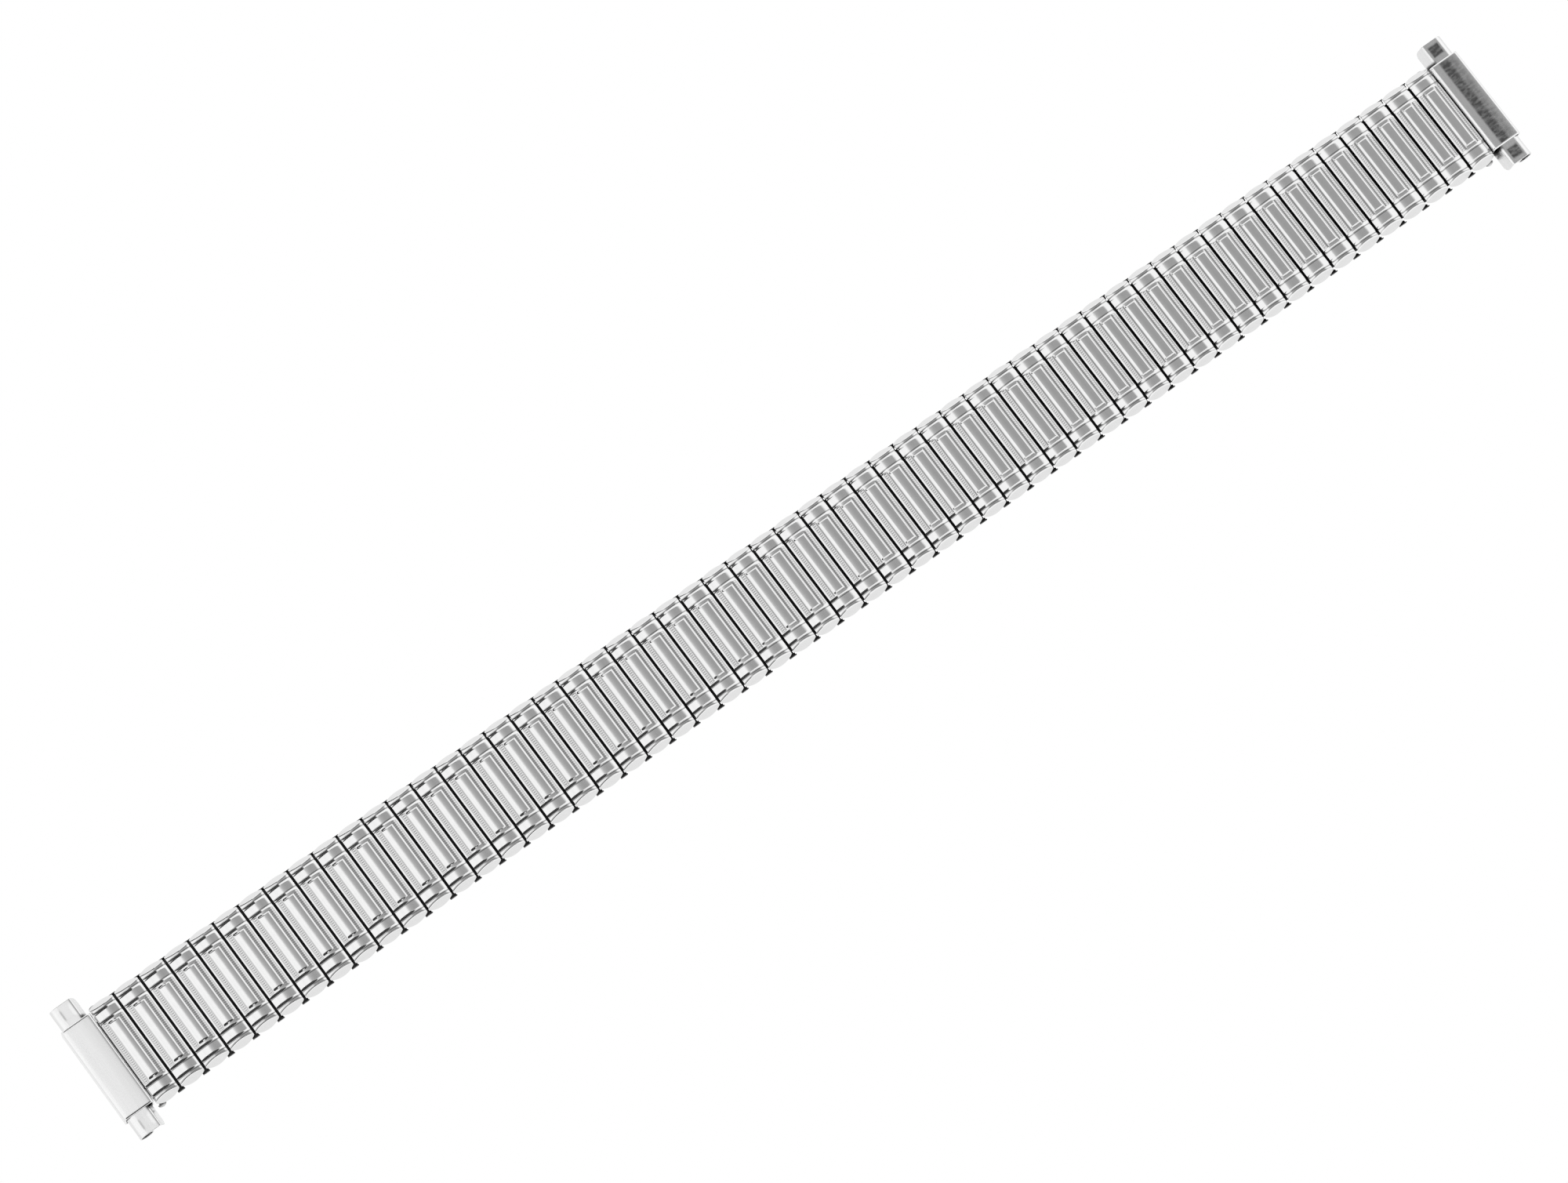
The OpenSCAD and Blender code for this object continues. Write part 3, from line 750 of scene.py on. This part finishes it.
def cover_path():
    """The cover's section (x, z) from lip to lip, and the column where its slot ends."""
    t = END_T / 2
    x0, x1 = END_LOW[0] + t, END_HIGH[0] - t
    low, top = END_LOW[2] + t, END_HIGH[2] - t
    r = END_ROUND - t
    lip_end = END_T / 2 + LIP
    left = rounded([(x0 + lip_end, low, 0), (x0, low, LIP_CORNER), (x0, SLOT_TOP, 0)])
    right = rounded([(x1, SLOT_TOP, 0), (x1, low, LIP_CORNER), (x1 - lip_end, low, 0)])
    over = rounded([(x0, SLOT_TOP, 0), (x0, top, r), (x1, top, r), (x1, SLOT_TOP, 0)], turn=10)
    flat = next(i for i in range(1, len(over)) if over[i][0] - over[i - 1][0] > LONGEST_ARC_STEP)
    columns = steps(over[flat - 1][0], over[flat][0], COVER_COLUMNS)[1:-1]
    over = over[:flat] + [(u, top) for u in columns] + over[flat:]
    middle, half = (x0 + x1) / 2, (x1 - x0) / 2
    path = [
        (u, z - END_CROWN * ((u - middle) / half) ** 2 if z > top - r else z)
        for u, z in left[:-1] + over + right[1:]
    ]
    return path, len(left) - 1


# Painted shade inside the cover's channel, under its top
def cover_painted_shade(x, y, z):
    depth = INNER_SHARE * END_T
    inside = END_LOW[0] + depth < x < END_HIGH[0] - depth
    below = z < END_HIGH[2] - depth - END_CROWN - END_TURN
    return 1.0 if inside and below and abs(y) < END_HIGH[1] - END_T else 0.0


# Painted dark reflection: a mottled band across the cover's top, clear of its turned ends
def cover_painted_reflection(x, y, z):
    if z < END_HIGH[2] - END_CROWN - END_T / 2:
        return 0.0
    share = (x - END_LOW[0]) / (END_HIGH[0] - END_LOW[0])
    rise = smooth((share - REFLECTION_START) / REFLECTION_RISE)
    kept = 1
    for start, width, loss in REFLECTION_FADES:
        kept -= loss * smooth((share - start) / width)
    edge_clear = 1 - smooth((abs(y) - END_HIGH[1] + END_TURN_W) / (END_TURN_W / 2))
    return rise * kept * edge_clear


def end_shell_mesh():
    """The satin cover: a channel with lips, a slot for the hinge plate and turned ends."""
    bm = bmesh.new()
    path, slot = cover_path()
    end_y = END_HIGH[1]
    edge = [end_y - END_TURN_W * share for share in END_TURN_SHARES]
    slot_rows = steps(-SLOT_Y, SLOT_Y, SLOT_ROWS)
    rows = [-y for y in edge[::-1]] + slot_rows + edge
    first, last = rows.index(slot_rows[0]), rows.index(slot_rows[-1])

    def turned_down(i, j, side, co):
        share = max(0, (abs(co.y) - end_y + END_TURN_W) / END_TURN_W)
        if co.z > END_HIGH[2] - END_ROUND:
            co.z -= END_TURN * share**2
        return co

    sheet_faces(bm, path, END_T / 2, rows, at=turned_down,
                present=lambda i, j: not (first <= j < last and i < slot))
    mesh = mesh_from(bm, "end_shell", bevel=END_BEVEL, segments=3, sharp=50)
    paint(mesh, "painted_shade", cover_painted_shade)
    paint(mesh, "painted_reflection", cover_painted_reflection)
    return mesh


def end_frame_mesh():
    """The base plate with its lead and the eye rolled round the hinge pin."""
    bm = bmesh.new()
    t = END_T / 2
    z = END_LOW[2] + END_T + LIP_CLEAR + t
    plate_x0 = END_LOW[0] + END_T + LIP_CLEAR
    join = math.radians(EYE_JOIN)
    tangent = (PIN_X + EYE_R * math.cos(join), PIN_Z + EYE_R * math.sin(join))
    bend_x = tangent[0] + (z - tangent[1]) / math.tan(math.radians(LEAD_ANGLE))
    path = rounded([
        (PLATE_HIGH[0], z, 0), (plate_x0, z, 0), (bend_x, z, LEAD_BEND), (*tangent, 0),
    ])
    path = path[:-1] + arc(PIN_X, PIN_Z, EYE_R, EYE_JOIN, EYE_END)
    rows = [-PLATE_HIGH[1], -TONGUE_Y, TONGUE_Y, PLATE_HIGH[1]]
    sheet_faces(bm, path, t, rows, present=lambda i, j: j == 1 or i == 0)
    return mesh_from(bm, "end_frame", bevel=FRAME_BEVEL, sharp=50)


def hinge_pin_mesh():
    """A pin with a domed, riveted head at each end, turned about Y."""
    bm = bmesh.new()
    reach = PIN_HIGH[1]
    head = [(HEAD_R * math.cos(a), reach - HEAD_T + HEAD_T * math.sin(a))
            for a in steps(0, math.pi / 2, 12)]
    under = (HEAD_R * HEAD_UNDER_SHARE, reach - HEAD_T)
    profile = [(PIN_R, 0), (PIN_R, reach - HEAD_T), under] + head
    profile = [(r, -y) for r, y in profile[:0:-1]] + profile[1:]
    grid(bm, [
        [(PIN_X + r * math.cos(a), y, PIN_Z + r * math.sin(a))
         for a in steps(0, 2 * math.pi, PIN_SIDES)]
        for r, y in profile
    ])
    mesh = mesh_from(bm, "hinge_pin", sharp=50)
    # Painted shade on the pin inside the band, fading out over the inner part of its heads
    paint(mesh, "painted_shade", lambda x, y, z: 1 - smooth((abs(y) - HALF_BAND) / HEAD_SHADE + 0.5))
    return mesh


# Counts of columns up a slider's flange and along its top, and of rows over its dimple
FLANGE_COLUMNS = 8
TOP_COLUMNS = 16
DISH_ROWS = 16
PLAIN_ROWS = 3


def slider_path():
    """A slider's section (x, z) up the flange, along the top and round the tube, and the
    column at which the tube starts."""
    t = END_T / 2
    low, top = SLIDER_LOW[2], SLIDER_HIGH[2] - t
    bend = rounded([
        (FLANGE_X, low, 0), (FLANGE_X + FLANGE_LEAN, top, FLANGE_BEND), (TUBE_X, top, 0),
    ])
    (foot_x, foot_z), (head_x, head_z) = bend[:2]
    path = [(foot_x + (head_x - foot_x) * share, foot_z + (head_z - foot_z) * share)
            for share in steps(0, 1, FLANGE_COLUMNS)]
    path += bend[2:-1]
    path += [(u, top) for u in steps(path[-1][0], TUBE_X, TOP_COLUMNS)][1:]
    roll = arc(TUBE_X, TUBE_Z, TUBE_R - TUBE_T / 2, ROLL_START, ROLL_END, turn=12)
    return path + roll[1:], len(path)


def dimple_reach(x, y):
    """Distance from the dimple's middle, square, as a share of half its width."""
    return max(abs(x - DIMPLE_X), abs(y - DIMPLE_Y)) / (DIMPLE / 2)


# Painted shade inside the tube and under the top, and a painted shadow at the flange's root beside the
# cover
def slider_painted_shade(x, y, z):
    low, top = SLIDER_LOW[2], SLIDER_HIGH[2]
    t = END_T / 2
    from_tube = math.hypot(x - TUBE_X, z - TUBE_Z)
    if from_tube < TUBE_R - INNER_SHARE * TUBE_T:
        return TUBE_SHADE
    face = FLANGE_X + t + FLANGE_LEAN * (z - low) / (top - t - low)
    under = face - FACE_HALVES * t < x < TUBE_X and z < top - INNER_SHARE * END_T
    if under and from_tube > TUBE_NEAR_SHARE * TUBE_R:
        return 1.0
    at_root = 1 - smooth((abs(y) - END_HIGH[1] - ROOT_SHADOW / 2) / ROOT_SHADOW)
    return at_root * (1 - smooth((x - FLANGE_X - FLANGE_LEAN) / ROOT_SHADOW))


# Painted dark reflection in the dimple on the slider's top
def slider_painted_reflection(x, y, z):
    if z < SLIDER_HIGH[2] - END_T / 2:
        return 0.0
    return 1 - smooth((dimple_reach(x, abs(y)) - DISH_REFLECTION_SHARE) / DISH_REFLECTION_FADE_SHARE)


def slider_mesh(side):
    """A slider: leaning inner flange, flat top with a pressed dimple and a rolled tube."""
    bm = bmesh.new()
    t = END_T / 2
    low, top = SLIDER_LOW[2], SLIDER_HIGH[2]
    path, tube_start = slider_path()
    tip, root = SLIDER_HIGH[1], SLIDER_LOW[1]
    dish_low = DIMPLE_Y - DISH_MARGIN
    rows = [root, FLANGE_FREE_Y] + steps(END_HIGH[1], dish_low, PLAIN_ROWS)[:-1] \
        + steps(dish_low, tip - TIP_MARGIN, DISH_ROWS) + [tip]

    def at(i, j, which, co):
        if co.z - low < FLANGE_CORNER and i < tube_start // 2:
            up = FLANGE_CORNER - max(0, co.z - low)
            limit = tip - FLANGE_CORNER + math.sqrt(max(0, FLANGE_CORNER**2 - up**2))
            share = max(0, (co.y - FLANGE_FREE_Y) / (tip - FLANGE_FREE_Y))
            co.y = co.y - (tip - limit) * share
        if i < tube_start and co.z > top - TOP_HALVES * t:
            slope = smooth((dimple_reach(co.x, co.y) - DISH_FLAT_SHARE) / DISH_SLOPE_SHARE)
            co.z -= DIMPLE_DEPTH * (1 - slope)
        co.y *= side
        return co

    sheet_faces(bm, path, lambda i: t if i < tube_start else TUBE_T / 2, rows, at=at)
    mesh = mesh_from(bm, "slider", bevel=SLIDER_BEVEL, segments=3, sharp=50)
    paint(mesh, "painted_shade", slider_painted_shade)
    paint(mesh, "painted_reflection", slider_painted_reflection)
    return mesh


# Materials

# The values between which most of a noise lies, and how rough it is
NOISE_LOW = 0.3
NOISE_HIGH = 0.7
NOISE_ROUGHNESS = 0.55


class Nodes:
    """Short ways to add and join shader nodes."""

    def __init__(self, name):
        self.material = bpy.data.materials.new(name)
        self.material.use_nodes = True
        self.tree = self.material.node_tree
        self.tree.nodes.clear()
        self.out = self.add("ShaderNodeOutputMaterial")
        self.shader = self.add("ShaderNodeBsdfPrincipled")
        self.join(self.shader, "BSDF", self.out, "Surface")

    def add(self, kind, **values):
        node = self.tree.nodes.new(kind)
        for key, value in values.items():
            if key in node.inputs:
                node.inputs[key].default_value = value
            else:
                setattr(node, key.lower(), value)
        return node

    def join(self, a, out, b, into):
        self.tree.links.new(a.outputs[out], b.inputs[into])

    def coordinates(self, scale):
        place = self.add("ShaderNodeTexCoord")
        mapping = self.add("ShaderNodeMapping")
        mapping.inputs["Scale"].default_value = scale
        self.join(place, "Object", mapping, "Vector")
        return mapping

    def noise(self, scale, detail=3.0, stretch=(1, 1, 1)):
        mapping = self.coordinates(stretch)
        noise = self.add("ShaderNodeTexNoise", Scale=scale, Detail=detail,
                         Roughness=NOISE_ROUGHNESS)
        self.join(mapping, "Vector", noise, "Vector")
        return noise

    def ranged(self, node, out, low, high, to_low, to_high):
        ranged = self.add("ShaderNodeMapRange")
        for key, value in zip(("From Min", "From Max", "To Min", "To Max"),
                              (low, high, to_low, to_high)):
            ranged.inputs[key].default_value = value
        self.join(node, out, ranged, "Value")
        return ranged

    def tint(self, node, out, dark, light):
        ramp = self.add("ShaderNodeValToRGB")
        ramp.color_ramp.elements[0].position = NOISE_LOW
        ramp.color_ramp.elements[0].color = (dark, dark, dark, 1)
        ramp.color_ramp.elements[1].position = NOISE_HIGH
        ramp.color_ramp.elements[1].color = (light, light, light, 1)
        self.join(node, out, ramp, "Fac")
        return ramp

    def darkened(self, colour, attribute, grey, strength, mottle=None):
        """Turns a colour towards grey by a share painted on the mesh, mottled by a noise."""
        painted = self.add("ShaderNodeAttribute", Attribute_Name=attribute)
        share = self.add("ShaderNodeMath", Operation="MULTIPLY")
        share.inputs[1].default_value = strength
        self.join(painted, "Fac", share, 0)
        if mottle:
            uneven = self.add("ShaderNodeMath", Operation="MULTIPLY", Use_Clamp=True)
            self.join(share, 0, uneven, 0)
            self.join(mottle, "Result", uneven, 1)
            share = uneven
        mix = self.add("ShaderNodeMixRGB")
        mix.inputs["Color2"].default_value = (grey, grey, grey, 1)
        self.join(share, 0, mix, "Fac")
        self.join(colour, "Color", mix, "Color1")
        return mix

    def bump(self, node, out, strength, distance):
        bump = self.add("ShaderNodeBump", Strength=strength, Distance=distance)
        self.join(node, out, bump, "Height")
        self.join(bump, "Normal", self.shader, "Normal")


# Grey towards which the painted shade darkens a colour
PAINTED_SHADE_GREY = 0.04
# The painted dark reflection: its grey, then the grain, streaks and range of its mottle
PAINTED_REFLECTION_GREY = 0.16
REFLECTION_GRAIN = 4200
REFLECTION_STREAKS = (0.4, 1, 1)
REFLECTION_MOTTLE = (0.55, 1.2)
BRUSHED = (1, 0.06, 1)
GLOSS_GRAIN_SHARE = 0.4
BUMP_HEIGHT = 0.00002


def metal(name, dark, light, rough, grain, stretch=(1, 1, 1), bump=0.1, painted_shade=0.0, painted_reflection=0.0):
    """A metal with a slightly uneven tone, roughness and surface. Its last two arguments are
    how strongly it takes on the painted shade and the painted dark reflection, each a share painted on a
    mesh under that argument's name."""
    m = Nodes(name)
    m.shader.inputs["Metallic"].default_value = 1.0
    tone = m.noise(grain, 4.0, stretch)
    colour = m.tint(tone, "Fac", dark, light)
    # A mottled painted dark reflection, by the share painted on the mesh
    if painted_reflection:
        spots = m.noise(REFLECTION_GRAIN, 5.0, REFLECTION_STREAKS)
        mottle = m.ranged(spots, "Fac", NOISE_LOW, NOISE_HIGH, *REFLECTION_MOTTLE)
        colour = m.darkened(colour, "painted_reflection", PAINTED_REFLECTION_GREY, painted_reflection, mottle)
    # Painted shade, by the share painted on the mesh
    if painted_shade:
        colour = m.darkened(colour, "painted_shade", PAINTED_SHADE_GREY, painted_shade)
    m.join(colour, "Color", m.shader, "Base Color")
    gloss = m.noise(grain * GLOSS_GRAIN_SHARE, 2.0, stretch)
    spread = m.ranged(gloss, "Fac", NOISE_LOW, NOISE_HIGH, *rough)
    m.join(spread, "Result", m.shader, "Roughness")
    m.bump(tone, "Fac", bump, BUMP_HEIGHT)
    return m.material


def materials():
    return {
        "polished": metal("polished_steel", 0.75, 0.79, (0.07, 0.13), 900, bump=0.05, painted_shade=0.9),
        # Inner sleeves, springs and staples are near-black: painted shade for the band's shadowed inside
        "inner": metal("inner_sleeve_steel", 0.03, 0.06, (0.45, 0.6), 1500),
        "spring": metal("spring_steel", 0.05, 0.08, (0.35, 0.5), 1400),
        "satin": metal("satin_steel", 0.78, 0.82, (0.2, 0.28), 2600, BRUSHED, 0.015, 1.0),
        # The right end's cover and sliders, with a mottled painted dark reflection
        "painted_reflection_satin": metal("painted_reflection_satin_steel", 0.78, 0.83, (0.18, 0.28), 2600, BRUSHED, 0.015,
                            1.0, 1.0),
        "slider": metal("slider_steel", 0.77, 0.81, (0.2, 0.28), 2200, BRUSHED, 0.02, 1.0),
        "painted_reflection_slider": metal("painted_reflection_slider_steel", 0.77, 0.82, (0.18, 0.28), 2200, BRUSHED, 0.02,
                             1.0, 1.0),
        "plain": metal("plain_steel", 0.58, 0.66, (0.28, 0.4), 1600, painted_shade=0.65),
    }


# Assembly

def piece(name, mesh, material, body, nodes, x=0.0, turned=False):
    obj = bpy.data.objects.new(name, mesh)
    bpy.context.scene.collection.objects.link(obj)
    if not mesh.materials:
        mesh.materials.append(None)
    obj.material_slots[0].link = "OBJECT"
    obj.material_slots[0].material = material
    obj.location.x = x * MM
    obj.rotation_euler.z = math.pi if turned else 0
    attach(obj, body)
    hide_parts(*nodes)
    return obj


def link_groups():
    """(body, label, links from the inside outward, turned) for each body of outer links."""
    out = []
    for body in BODIES:
        numbers = [int(word) for word in body.split("_") if word.isdigit()]
        if not numbers:
            continue
        links = list(range(numbers[0], numbers[-1] + 1))
        turned = links[0] < MIDDLE
        label = body.split("_", 1)[1]
        out.append((body, label, links[::-1] if turned else links, turned))
    return out


MESHES = {}


def group_mesh(kind, builders, offsets, last, extra=()):
    """A mesh shared by all groups with as many links: builders at each link's place."""
    key = kind, len(offsets), last, bool(extra)
    if key not in MESHES:
        bm = bmesh.new()
        for x in offsets:
            for build, place, outward in builders:
                if not (outward and last):
                    build(bm, x + place)
        for build, place in extra:
            build(bm, place)
        MESHES[key] = mesh_from(bm, kind)
    return MESHES[key]


SLEEVES = ((upper_sleeve, 0, False), (lower_sleeve, PITCH / 2, True))
SPRINGS = ((upper_spring, 0, False), (lower_spring, PITCH / 2, True))
STAPLES = ((own_staples, 0, True), (reach_staples, 0, True))


def dress_links(looks):
    shell = shell_mesh()
    for body, label, links, turned in link_groups():
        outer = [n for n in BODIES[body] if n.startswith("link")]
        inner = [n for n in BODIES[body] if n.startswith("staples")] or outer
        last = links[-1] in (1, LINKS)
        x = link_x(links[0])
        offsets = [i * PITCH for i in range(len(links))]
        for k in links:
            piece(f"shell_{k:02d}", shell, looks["polished"], body, outer,
                  link_x(k), turned)
        extra = ((ears, 0),) if last else ()
        piece(f"sleeves_{label}", group_mesh("sleeves", SLEEVES, offsets, last, extra),
              looks["inner"], body, outer, x, turned)
        piece(f"leaf_springs_{label}", group_mesh("leaf_springs", SPRINGS, offsets, last),
              looks["spring"], body, inner, x, turned)
        if not last:
            piece(f"staples_{label}", group_mesh("staples", STAPLES, offsets, last),
                  looks["spring"], body, inner, x, turned)
    return shell


def dress_center(looks, shell):
    body = "center_links"
    half_x = link_x(MIDDLE + 0.5)
    inward = ((reach_staples, -PITCH),)
    for turned, k in ((False, 29), (True, 28)):
        x = -half_x if turned else half_x
        piece(f"shell_{k}", shell, looks["polished"], body, ["center_top_shells"],
              x, turned)
        piece(f"sleeves_{k}", group_mesh("sleeves", SLEEVES, [0], False), looks["inner"],
              body, ["center_sleeves"], x, turned)
        piece(f"leaf_springs_{k}", group_mesh("leaf_springs", SPRINGS, [0], False),
              looks["spring"], body, ["center_leaf_springs"], x, turned)
        piece(f"staples_{k}", group_mesh("center_staples", STAPLES, [0], False, inward),
              looks["spring"], body, ["center_staples"], x, turned)
    piece("sleeve_between_28_and_29", group_mesh("middle_sleeve", (), [0], False,
          ((lower_sleeve, 0),)), looks["inner"], body, ["center_sleeves"])
    piece("leaf_spring_between_28_and_29", group_mesh("middle_spring", (), [0], False,
          ((lower_spring, 0),)), looks["spring"], body, ["center_leaf_springs"])


def dress_ends(looks):
    cover, plate, pin = end_shell_mesh(), end_frame_mesh(), hinge_pin_mesh()
    far, near = slider_mesh(1), slider_mesh(-1)
    # The right end takes the looks with a painted dark reflection on its cover and sliders
    for side, turned, reflection_prefix in (("right", False, "painted_reflection_"), ("left", True, "")):
        end = f"{side}_end"
        link = f"link_{1 if turned else LINKS:02d}"
        parts = (
            ("end_cover", cover, reflection_prefix + "satin", end, "end_shell", "satin_steel"),
            ("hinge_plate", plate, "plain", end, "end_frame", "plain_steel"),
            ("pivot_pin", pin, "plain", link, "hinge_pin", "plain_steel"),
            ("far_slide", near if turned else far, reflection_prefix + "slider", f"{side}_slider_far",
             "slider_far", "slider_steel"),
            ("near_slide", far if turned else near, reflection_prefix + "slider", f"{side}_slider_near",
             "slider_near", "slider_steel"),
        )
        for name, mesh, look, body, node, slot in parts:
            piece(f"{side}_{name}", mesh, looks[look], body, [f"{side}_{node}"],
                  turned=turned)


# Camera, light and floor

CAMERA_PLACE = (-122.45, -101.46, 608.92)
CAMERA_TURN = (14.095, -3.3751, -36.575)
LENS = 159.328
SENSOR = 36.0
# The nearest and the farthest that the camera sees, in metres
NEAREST = 0.01
FARTHEST = 20
FLOOR_Z = -70.0
FLOOR_SIZE = 6000.0
FLOOR_GREY = 0.9
FLOOR_ROUGHNESS = 0.9


def make_camera():
    data = bpy.data.cameras.new("camera")
    camera = bpy.data.objects.new("camera", data)
    bpy.context.scene.collection.objects.link(camera)
    camera.location = [v * MM for v in CAMERA_PLACE]
    camera.rotation_euler = [math.radians(v) for v in CAMERA_TURN]
    data.lens = LENS
    data.sensor_width = SENSOR
    data.sensor_fit = "HORIZONTAL"
    data.clip_start = NEAREST
    data.clip_end = FARTHEST
    bpy.context.scene.camera = camera


def white_where_seen(tree, shaded, out):
    """Shows plain white to the camera and in reflections, and the shaded look elsewhere."""
    path = tree.nodes.new("ShaderNodeLightPath")
    white = tree.nodes.new("ShaderNodeEmission")
    either = tree.nodes.new("ShaderNodeMath")
    either.operation = "MAXIMUM"
    tree.links.new(path.outputs["Is Camera Ray"], either.inputs[0])
    tree.links.new(path.outputs["Is Glossy Ray"], either.inputs[1])
    mix = tree.nodes.new("ShaderNodeMixShader")
    tree.links.new(either.outputs[0], mix.inputs[0])
    tree.links.new(shaded.outputs[0], mix.inputs[1])
    tree.links.new(white.outputs[0], mix.inputs[2])
    tree.links.new(mix.outputs[0], out.inputs["Surface"])


def make_floor():
    bm = bmesh.new()
    half = FLOOR_SIZE / 2
    grid(bm, [[(-half, -half, FLOOR_Z), (half, -half, FLOOR_Z)],
              [(-half, half, FLOOR_Z), (half, half, FLOOR_Z)]])
    mesh = mesh_from(bm, "floor")
    floor = bpy.data.objects.new("floor", mesh)
    bpy.context.scene.collection.objects.link(floor)
    m = Nodes("floor_white")
    m.shader.inputs["Base Color"].default_value = (FLOOR_GREY, FLOOR_GREY, FLOOR_GREY, 1)
    m.shader.inputs["Roughness"].default_value = FLOOR_ROUGHNESS
    white_where_seen(m.tree, m.shader, m.out)
    mesh.materials.append(m.material)


TENT_LIGHT = 1.18
CARD_LIGHT = 1.25
CEILING_Z = 350.0
CEILING_X = (-250.0, 440.0)
CEILING_Y = (-230.0, 420.0)
# Places along X on the ceiling, with the brightness of each
CEILING_GREYS = ((-250, 1.12), (-75, 1.18), (-50, 1.12), (-34, 0.85), (-12, 0.66), (12, 0.54),
                 (80, 0.45), (130, 0.42), (200, 0.43), (330, 0.43), (385, 0.8), (440, 1.1))
# Upright dark cards beside the left end: the place in Y, then the places in X of the
# left side and of the right side's lower and upper corner, then the heights of these
NEAR_CARD = (-60.0, -190.0, 4.0, -22.0, 42.0, 190.0)
FAR_CARD = (100.0, -210.0, -37.0, -24.0, 58.0, 170.0)
DARK_CARD_GREYS = ((0.0, 0.03), (0.93, 0.04), (1.0, 1.0))


def ramp_node(tree, stops):
    """A ramp of greys through stops (position, value)."""
    ramp = tree.nodes.new("ShaderNodeValToRGB")
    ramp.color_ramp.interpolation = "EASE"
    elements = ramp.color_ramp.elements
    elements[0].position, elements[0].color = stops[0][0], (*([stops[0][1]] * 3), 1)
    elements[1].position, elements[1].color = stops[-1][0], (*([stops[-1][1]] * 3), 1)
    for position, value in stops[1:-1]:
        element = elements.new(position)
        element.color = (value, value, value, 1)
    return ramp


def make_card(name, corners, stops):
    """A card of the light tent, which only reflections and light see. The corners go
    round it, the first two along its gradient, and stops are (share, grey value)."""
    bm = bmesh.new()
    grid(bm, [[corners[0], corners[1]], [corners[3], corners[2]]])
    layer = bm.loops.layers.uv.new("card")
    for face in bm.faces:
        for loop, place in zip(face.loops, ((0, 0), (1, 0), (1, 1), (0, 1))):
            loop[layer].uv = place
    mesh = mesh_from(bm, name)
    card = bpy.data.objects.new(name, mesh)
    bpy.context.scene.collection.objects.link(card)
    material = bpy.data.materials.new(name)
    material.use_nodes = True
    tree = material.node_tree
    tree.nodes.clear()
    out = tree.nodes.new("ShaderNodeOutputMaterial")
    shine = tree.nodes.new("ShaderNodeEmission")
    place = tree.nodes.new("ShaderNodeTexCoord")
    split = tree.nodes.new("ShaderNodeSeparateXYZ")
    ramp = ramp_node(tree, stops)
    shine.inputs["Strength"].default_value = CARD_LIGHT
    tree.links.new(place.outputs["UV"], split.inputs[0])
    tree.links.new(split.outputs["X"], ramp.inputs["Fac"])
    tree.links.new(ramp.outputs["Color"], shine.inputs["Color"])
    tree.links.new(shine.outputs[0], out.inputs["Surface"])
    mesh.materials.append(material)
    card.visible_camera = False
    card.visible_shadow = False


def make_cards():
    (x0, x1), (y0, y1), z = CEILING_X, CEILING_Y, CEILING_Z
    stops = [((x - x0) / (x1 - x0), grey / CARD_LIGHT) for x, grey in CEILING_GREYS]
    make_card("ceiling", [(x0, y0, z), (x1, y0, z), (x1, y1, z), (x0, y1, z)], stops)
    for name, card in (("near_card", NEAR_CARD), ("far_card", FAR_CARD)):
        y, left, low_x, high_x, z0, z1 = card
        corners = [(left, y, z0), (low_x, y, z0), (high_x, y, z1), (left, y, z1)]
        make_card(name, corners, DARK_CARD_GREYS)


def make_world():
    """A light tent, white all round."""
    world = bpy.data.worlds.new("tent")
    bpy.context.scene.world = world
    world.use_nodes = True
    world.node_tree.nodes["Background"].inputs["Color"].default_value = (1, 1, 1, 1)
    world.node_tree.nodes["Background"].inputs["Strength"].default_value = TENT_LIGHT


looks = materials()
dress_center(looks, dress_links(looks))
dress_ends(looks)
make_camera()
make_floor()
make_world()
make_cards()
bpy.context.scene.view_settings.view_transform = "Standard"
